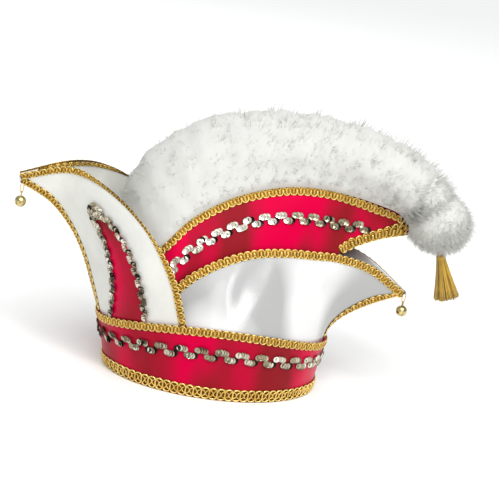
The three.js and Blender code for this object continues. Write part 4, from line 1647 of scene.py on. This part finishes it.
    def ridge(self) -> None:
        """The boa along the ridge: tufts in jittered rows, closer at its thin front end, over the core."""
        draw = np.random.default_rng(self.seed)
        rows = mix(self.first, CREST.end - 0.1, np.linspace(0, 1, self.ridge_rows) ** 1.35)
        at, girth = np.meshgrid(rows, np.linspace(-0.9, 0.9, self.ridge_columns))
        at = np.clip(at + draw.uniform(-0.13, 0.13, at.shape), self.first, CREST.end).ravel()
        girth = np.clip(girth + draw.uniform(-0.08, 0.08, girth.shape), -0.86, 0.86).ravel()
        seat, out, reach = self.saddle(at, girth)
        flank = ease(np.abs(girth), 0.15, 0.6)
        reach = reach * (mix(1.0, 0.93, flank) + self.clumps(at, girth))
        reach = reach + self.fringe * (1 - 0.85 * flank)
        shape = self.down(seat, out, reach, self.ridge_strands, draw, np.array(self.ridge_droop))
        shape.add(*self.core(), tone=self.ridge_core_tone)
        self.finishes.dress(shape, "marabou_ridge", "down", "marabou")

    def ball(self, tufts: int, middle: Place, size: Place, draw: np.random.Generator) -> Shape:
        """A round tuft: a soft core, and tufts of down spread evenly over it.

        Args:
            tufts: how many tufts.
            middle: its centre.
            size: its half sizes.
            draw: the seeded draws.

        Returns:
            Its shape.
        """
        number = np.arange(tufts) + 0.5
        height = 1 - 2 * number / tufts
        flat = np.sqrt(1 - height**2)
        turn = number * GOLDEN_TURN
        out = np.stack([flat * np.cos(turn), flat * np.sin(turn), height], axis=-1)
        radius, centre = np.array(size), np.array(middle)
        reach = np.linalg.norm(out * radius * 0.75, axis=1)
        droop = np.stack([2.5 * np.ones_like(height), 0 * height, -2.0 - 2.0 * flat], axis=-1)
        shape = self.down(centre + out * radius * 0.25, out, reach, self.tail_strands, draw, droop)
        around, up = np.linspace(0, FULL_TURN, 40, endpoint=False), np.linspace(-0.47, 0.47, 21) * math.pi
        u, v = np.meshgrid(around, up)
        sphere = np.stack([np.cos(v) * np.cos(u), np.cos(v) * np.sin(u), np.sin(v)], axis=-1) * radius
        core = wall(centre + sphere * 0.86, centre + sphere * 0.5, closed=True)
        return shape.add(*core, tone=self.tail_core_tone)

    def tail(self) -> None:
        """The hanging end over the tassel, and the shoulder that leads into it from the ridge."""
        draw = np.random.default_rng(self.seed + 1)
        shape = Shape()
        for tufts, middle, size in self.tail_balls:
            shape.join(self.ball(tufts, middle, size, draw))
        self.finishes.dress(shape, "marabou_tail", "down", "marabou")

    def build(self) -> None:
        """Makes both lengths of boa."""
        self.ridge()
        self.tail()


@dataclass
class Tassel:
    """The gold tassel under the tail: a bound neck and a skirt of yarn cut straight across."""

    finishes: Finishes
    top: Place = (199.5, 0.0, 148.0)
    lean: float = 17.5
    neck_half: float = 4.2
    neck: float = 12.0
    skirt_half: float = 12.0
    length: float = 47.0
    strands: int = 460
    thick: tuple[float, float] = (0.6, 0.62)
    binding_turns: int = 7
    binding_steps: int = 160
    binding_radius: float = 0.5
    binding_tone: float = 0.7
    cut_scatter: float = 0.5
    seed: int = 23

    def axes(self) -> tuple[Array, Array, Array]:
        """The leaning tassel's own directions: down its middle, and two across.

        Returns:
            Three unit vectors.
        """
        angle = math.radians(self.lean)
        down = np.array([math.sin(angle), 0, -math.cos(angle)])
        beside = np.array([math.cos(angle), 0, math.sin(angle)])
        return down, beside, np.cross(down, beside)

    def yarn(self) -> Shape:
        """The yarn: each strand leaves the neck and spreads in a cone to the straight cut.

        Returns:
            The shape of all strands.
        """
        draw = np.random.default_rng(self.seed)
        down, beside, other = self.axes()
        ring = np.sqrt(draw.uniform(0, 1, self.strands))[:, None]
        turn = draw.uniform(0, FULL_TURN, self.strands)[:, None]
        fan = ring * (np.cos(turn) * beside + np.sin(turn) * other)
        cut = draw.normal(0, self.cut_scatter, (self.strands, 1))
        start = np.array(self.top)
        root = start + fan * self.neck_half * 0.7
        tip = start + down * (self.length + cut) + fan * self.skirt_half
        bend = start + down * self.neck * 1.3 + fan * self.neck_half
        points, faces = strands(root, bend, tip, self.thick, 6, draw)
        tone = np.broadcast_to(draw.uniform(0.15, 0.8, (self.strands, 1, 1)), points.shape[:3])
        return Shape().add(points, faces, tone=tone)

    def binding(self) -> tuple[Array, Faces]:
        """The yarn wound round the neck: a helix about the tassel's middle.

        Returns:
            The tube's points and faces.
        """
        down, beside, other = self.axes()
        turn = np.linspace(0, FULL_TURN * self.binding_turns, self.binding_steps)[:, None]
        run = np.linspace(self.neck * 0.55, self.neck, self.binding_steps)[:, None]
        wind = np.array(self.top) + down * run
        wind = wind + (np.cos(turn) * beside + np.sin(turn) * other) * self.neck_half * 0.95
        up = np.broadcast_to(down, (1, self.binding_steps, 3))
        return tubes(wind[None], up, np.full((1, self.binding_steps), self.binding_radius), sides=6)

    def build(self) -> None:
        """Makes the yarn and its binding."""
        shape = self.yarn()
        shape.add(*self.binding(), tone=self.binding_tone)
        self.finishes.dress(shape, "tassel", "yarn", "tassel_yarn")


@dataclass
class Bell:
    """A small round bell with a slotted mouth and an eye, on a loop of thread."""

    finishes: Finishes
    name: str
    tip: Place
    radius: float = 5.4
    wall: float = 0.6
    slot: float = 0.7
    hole: float = 0.5
    hole_at: float = 0.42
    hole_spread: float = 0.16
    roof_end: float = 0.58
    drop: float = 15.0
    eye: float = 2.2
    wire: float = 0.6
    thread: float = 0.5
    thread_gap: float = 0.3
    thread_rise: float = 1.5
    thread_tone: float = 0.6
    spread: float = 1.5
    loop_steps: int = 24

    def skin(self, around: Array, level: Array, closed: bool = False) -> tuple[Array, Faces]:
        """A wall of the ball's metal: circles about the slot's own axis, of radius sqrt(r^2 - y^2).

        Args:
            around: turns about the axis from straight up.
            level: the places y along the axis.
            closed: whether the circles run right round.

        Returns:
            The wall's points and faces.
        """
        centre = np.array(self.tip) - (0, 0, self.drop)
        grids = []
        for size in (self.radius, self.radius - self.wall):
            y = np.clip(level, -size * 0.999, size * 0.999)
            ring = np.sqrt(size**2 - y**2)
            grids.append(centre + np.stack([ring * np.sin(around), y, ring * np.cos(around)], axis=-1))
        return wall(*grids, closed=closed)

    def cheeks(self) -> Shape:
        """The two halves beside the slot, whose straight edges widen at both ends into round holes.

        Returns:
            The shape of both.
        """
        around = np.linspace(0, FULL_TURN, 48, endpoint=False)
        ends = np.exp(-(((np.abs(around - math.pi) - self.hole_at * math.pi) / self.hole_spread) ** 2))
        edge = self.slot + self.hole * ends
        level = mix(self.slot, self.radius, np.linspace(0, 1, 14) * 0.995)[1:, None] + 0 * around
        shape = Shape().add(*self.skin(around, np.concatenate([-level[:0:-1], -edge[None]]), closed=True))
        return shape.add(*self.skin(around, np.concatenate([edge[None], level]), closed=True))

    def roof(self, shape: Shape) -> None:
        """Adds the upper half of the strip between the two cheeks, and the eye.

        Args:
            shape: the shape that they are added to.
        """
        end = self.roof_end * math.pi
        around, across = np.meshgrid(np.linspace(-end, end, 30), np.linspace(-1, 1, 5))
        shape.add(*self.skin(around, across * self.slot * 1.02))
        turn = np.linspace(0, FULL_TURN, self.loop_steps, endpoint=False)
        high = np.array(self.tip) - (0, 0, self.drop) + (0, 0, self.radius + self.eye - self.wire)
        loop = high + np.stack([0 * turn, np.cos(turn), np.sin(turn)], axis=-1) * self.eye
        shape.add(*self.wound(loop, (1.0, 0.0, 0.0), self.wire, closed=True))

    def wound(self, loop: Array, side: Place, radius: float, closed: bool = False) -> tuple[Array, Faces]:
        """A round wire or thread along a loop that lies across a side direction."""
        up = np.broadcast_to(np.array(side), (1, self.loop_steps, 3))
        return tubes(loop[None], up, np.full((1, self.loop_steps), radius), sides=8, closed=closed)

    def build(self) -> None:
        """Makes the bell and its thread."""
        shape = self.cheeks()
        self.roof(shape)
        self.finishes.dress(shape, f"bell_{self.name}", "brass", "bell_metal")
        x, _, top = self.tip
        low = top - self.drop + self.radius + 2 * self.eye - 2 * self.wire - self.thread - self.thread_gap
        swing = np.linspace(0, math.pi, self.loop_steps)
        height = mix(top + self.thread_rise, low, np.sin(swing) ** 0.6)
        loop = np.stack([x - self.spread * np.cos(swing), 0 * swing, height], axis=-1)
        thread = Shape().add(*self.wound(loop, (0.0, 1.0, 0.0), self.thread), tone=self.thread_tone)
        self.finishes.dress(thread, f"bell_thread_{self.name}", "loop", "thread")


def facing(place: Array, back: Array, right: Array) -> Matrix:
    """The matrix of a light or a camera at a place in metres, with its back and right directions."""
    axes = np.stack([right, np.cross(back, right), back], axis=1)
    return Matrix.Translation(place) @ Matrix(axes.tolist()).to_4x4()


@dataclass
class Studio:
    """A plain pale floor, soft lights and the camera at the photo's viewing angle."""

    azimuth: float = -6.0
    elevation: float = 14.5
    roll: float = 8.78
    camera: Place = (-188.1, -1994.1, 642.8)
    lens: float = 159.16
    sensor: float = 36.0
    clip: tuple[float, float] = (0.05, 50.0)
    floor_size: float = 14.0
    middle: Place = (0.0, 0.0, 0.12)
    # Each soft light's name, place and width in metres, and power.
    lights: tuple[tuple[str, Place, float, float], ...] = (
        ("key", (0.3, -1.7, 1.1), 1.0, 4.0),
        ("strip_left", (-0.35, -1.6, 1.3), 0.16, 2.2),
        ("strip_right", (0.75, -1.5, 1.15), 0.3, 4.0),
        ("fill", (0.5, -1.2, 1.6), 0.6, 6.0),
        ("back", (-0.4, 1.8, 1.2), 0.8, 9.0),
    )
    sun_from: Place = (0.1, -0.55, 0.83)
    sun_power: float = 1.8
    sun_width: float = 55.0
    sky: float = 0.5

    def floor(self) -> None:
        """A wide pale floor that the rim rests on."""
        half = self.floor_size / 2
        mesh = bpy.data.meshes.new("floor")
        corners = [(-half, -half, 0), (half, -half, 0), (half, half, 0), (-half, half, 0)]
        mesh.from_pydata(corners, [], [(0, 1, 2, 3)])
        paper = bpy.data.materials.new("pale_paper")
        paper.use_nodes = True
        shader = paper.node_tree.nodes["Principled BSDF"]
        shader.inputs["Base Color"].default_value = srgb("#FBFBFA")
        shader.inputs["Roughness"].default_value = 0.9
        mesh.materials.append(paper)
        add_object("floor", mesh)

    def view(self) -> None:
        """The camera: it looks from the fitted place, turned about its own axis by the photo's roll."""
        turn, rise, roll = (math.radians(a) for a in (self.azimuth, self.elevation, self.roll))
        back = np.array([math.sin(turn) * math.cos(rise), -math.cos(turn) * math.cos(rise), math.sin(rise)])
        level = np.array([math.cos(turn), math.sin(turn), 0])
        upright = np.cross(back, level)
        right = level * math.cos(roll) + upright * math.sin(roll)
        data = bpy.data.cameras.new("camera")
        data.lens = self.lens
        data.sensor_width = self.sensor
        data.clip_start, data.clip_end = self.clip
        made = add_object("camera", data)
        made.matrix_world = facing((np.array(self.camera) + (SHIFT, 0, 0)) * MM, back, right)
        bpy.context.scene.camera = made

    def lamp(self, data: bpy.types.Light, place: Place, away: Array) -> None:
        """Puts a light in its place, with its back turned away from the cap."""
        back = unit(away)
        add_object(data.name, data).matrix_world = facing(place, back, unit(np.cross((0, 0, 1.0), back)))

    def soft_lights(self) -> None:
        """The square soft lights, which face the cap's middle."""
        for name, place, size, power in self.lights:
            data = bpy.data.lights.new(name, "AREA")
            data.size = size
            data.energy = power
            self.lamp(data, place, np.array(place) - self.middle)

    def overhead(self) -> None:
        """A broad overhead light from the left, even over the whole floor."""
        data = bpy.data.lights.new("overhead", "SUN")
        data.energy = self.sun_power
        data.angle = math.radians(self.sun_width)
        self.lamp(data, (0.0, 0.0, 0.0), np.array(self.sun_from))

    def surroundings(self) -> None:
        """A dim even sky, and colours shown as they are."""
        world = bpy.data.worlds.new("studio")
        world.use_nodes = True
        sky = world.node_tree.nodes["Background"]
        sky.inputs["Color"].default_value = srgb("#F4F6F8")
        sky.inputs["Strength"].default_value = self.sky
        scene = bpy.context.scene
        scene.world = world
        scene.view_settings.view_transform = "Standard"
        scene.view_settings.look = "None"

    def build(self) -> None:
        """Sets the stage."""
        self.floor()
        self.view()
        self.soft_lights()
        self.overhead()
        self.surroundings()


def main() -> None:
    """Builds the stage, then the cap from its walls outwards."""
    logging.basicConfig(level=logging.INFO, format="%(message)s")
    Studio().build()
    finishes = Finishes()
    walls = ClothWalls(finishes)
    walls.build()
    Trims(finishes, walls).build()
    Marabou(finishes).build()
    Tassel(finishes).build()
    Bell(finishes, "front", (-196.0, 0.0, 157.9)).build()
    Bell(finishes, "rear", (173.5, 0.0, 99.0)).build()


if __name__ == "__main__":
    main()
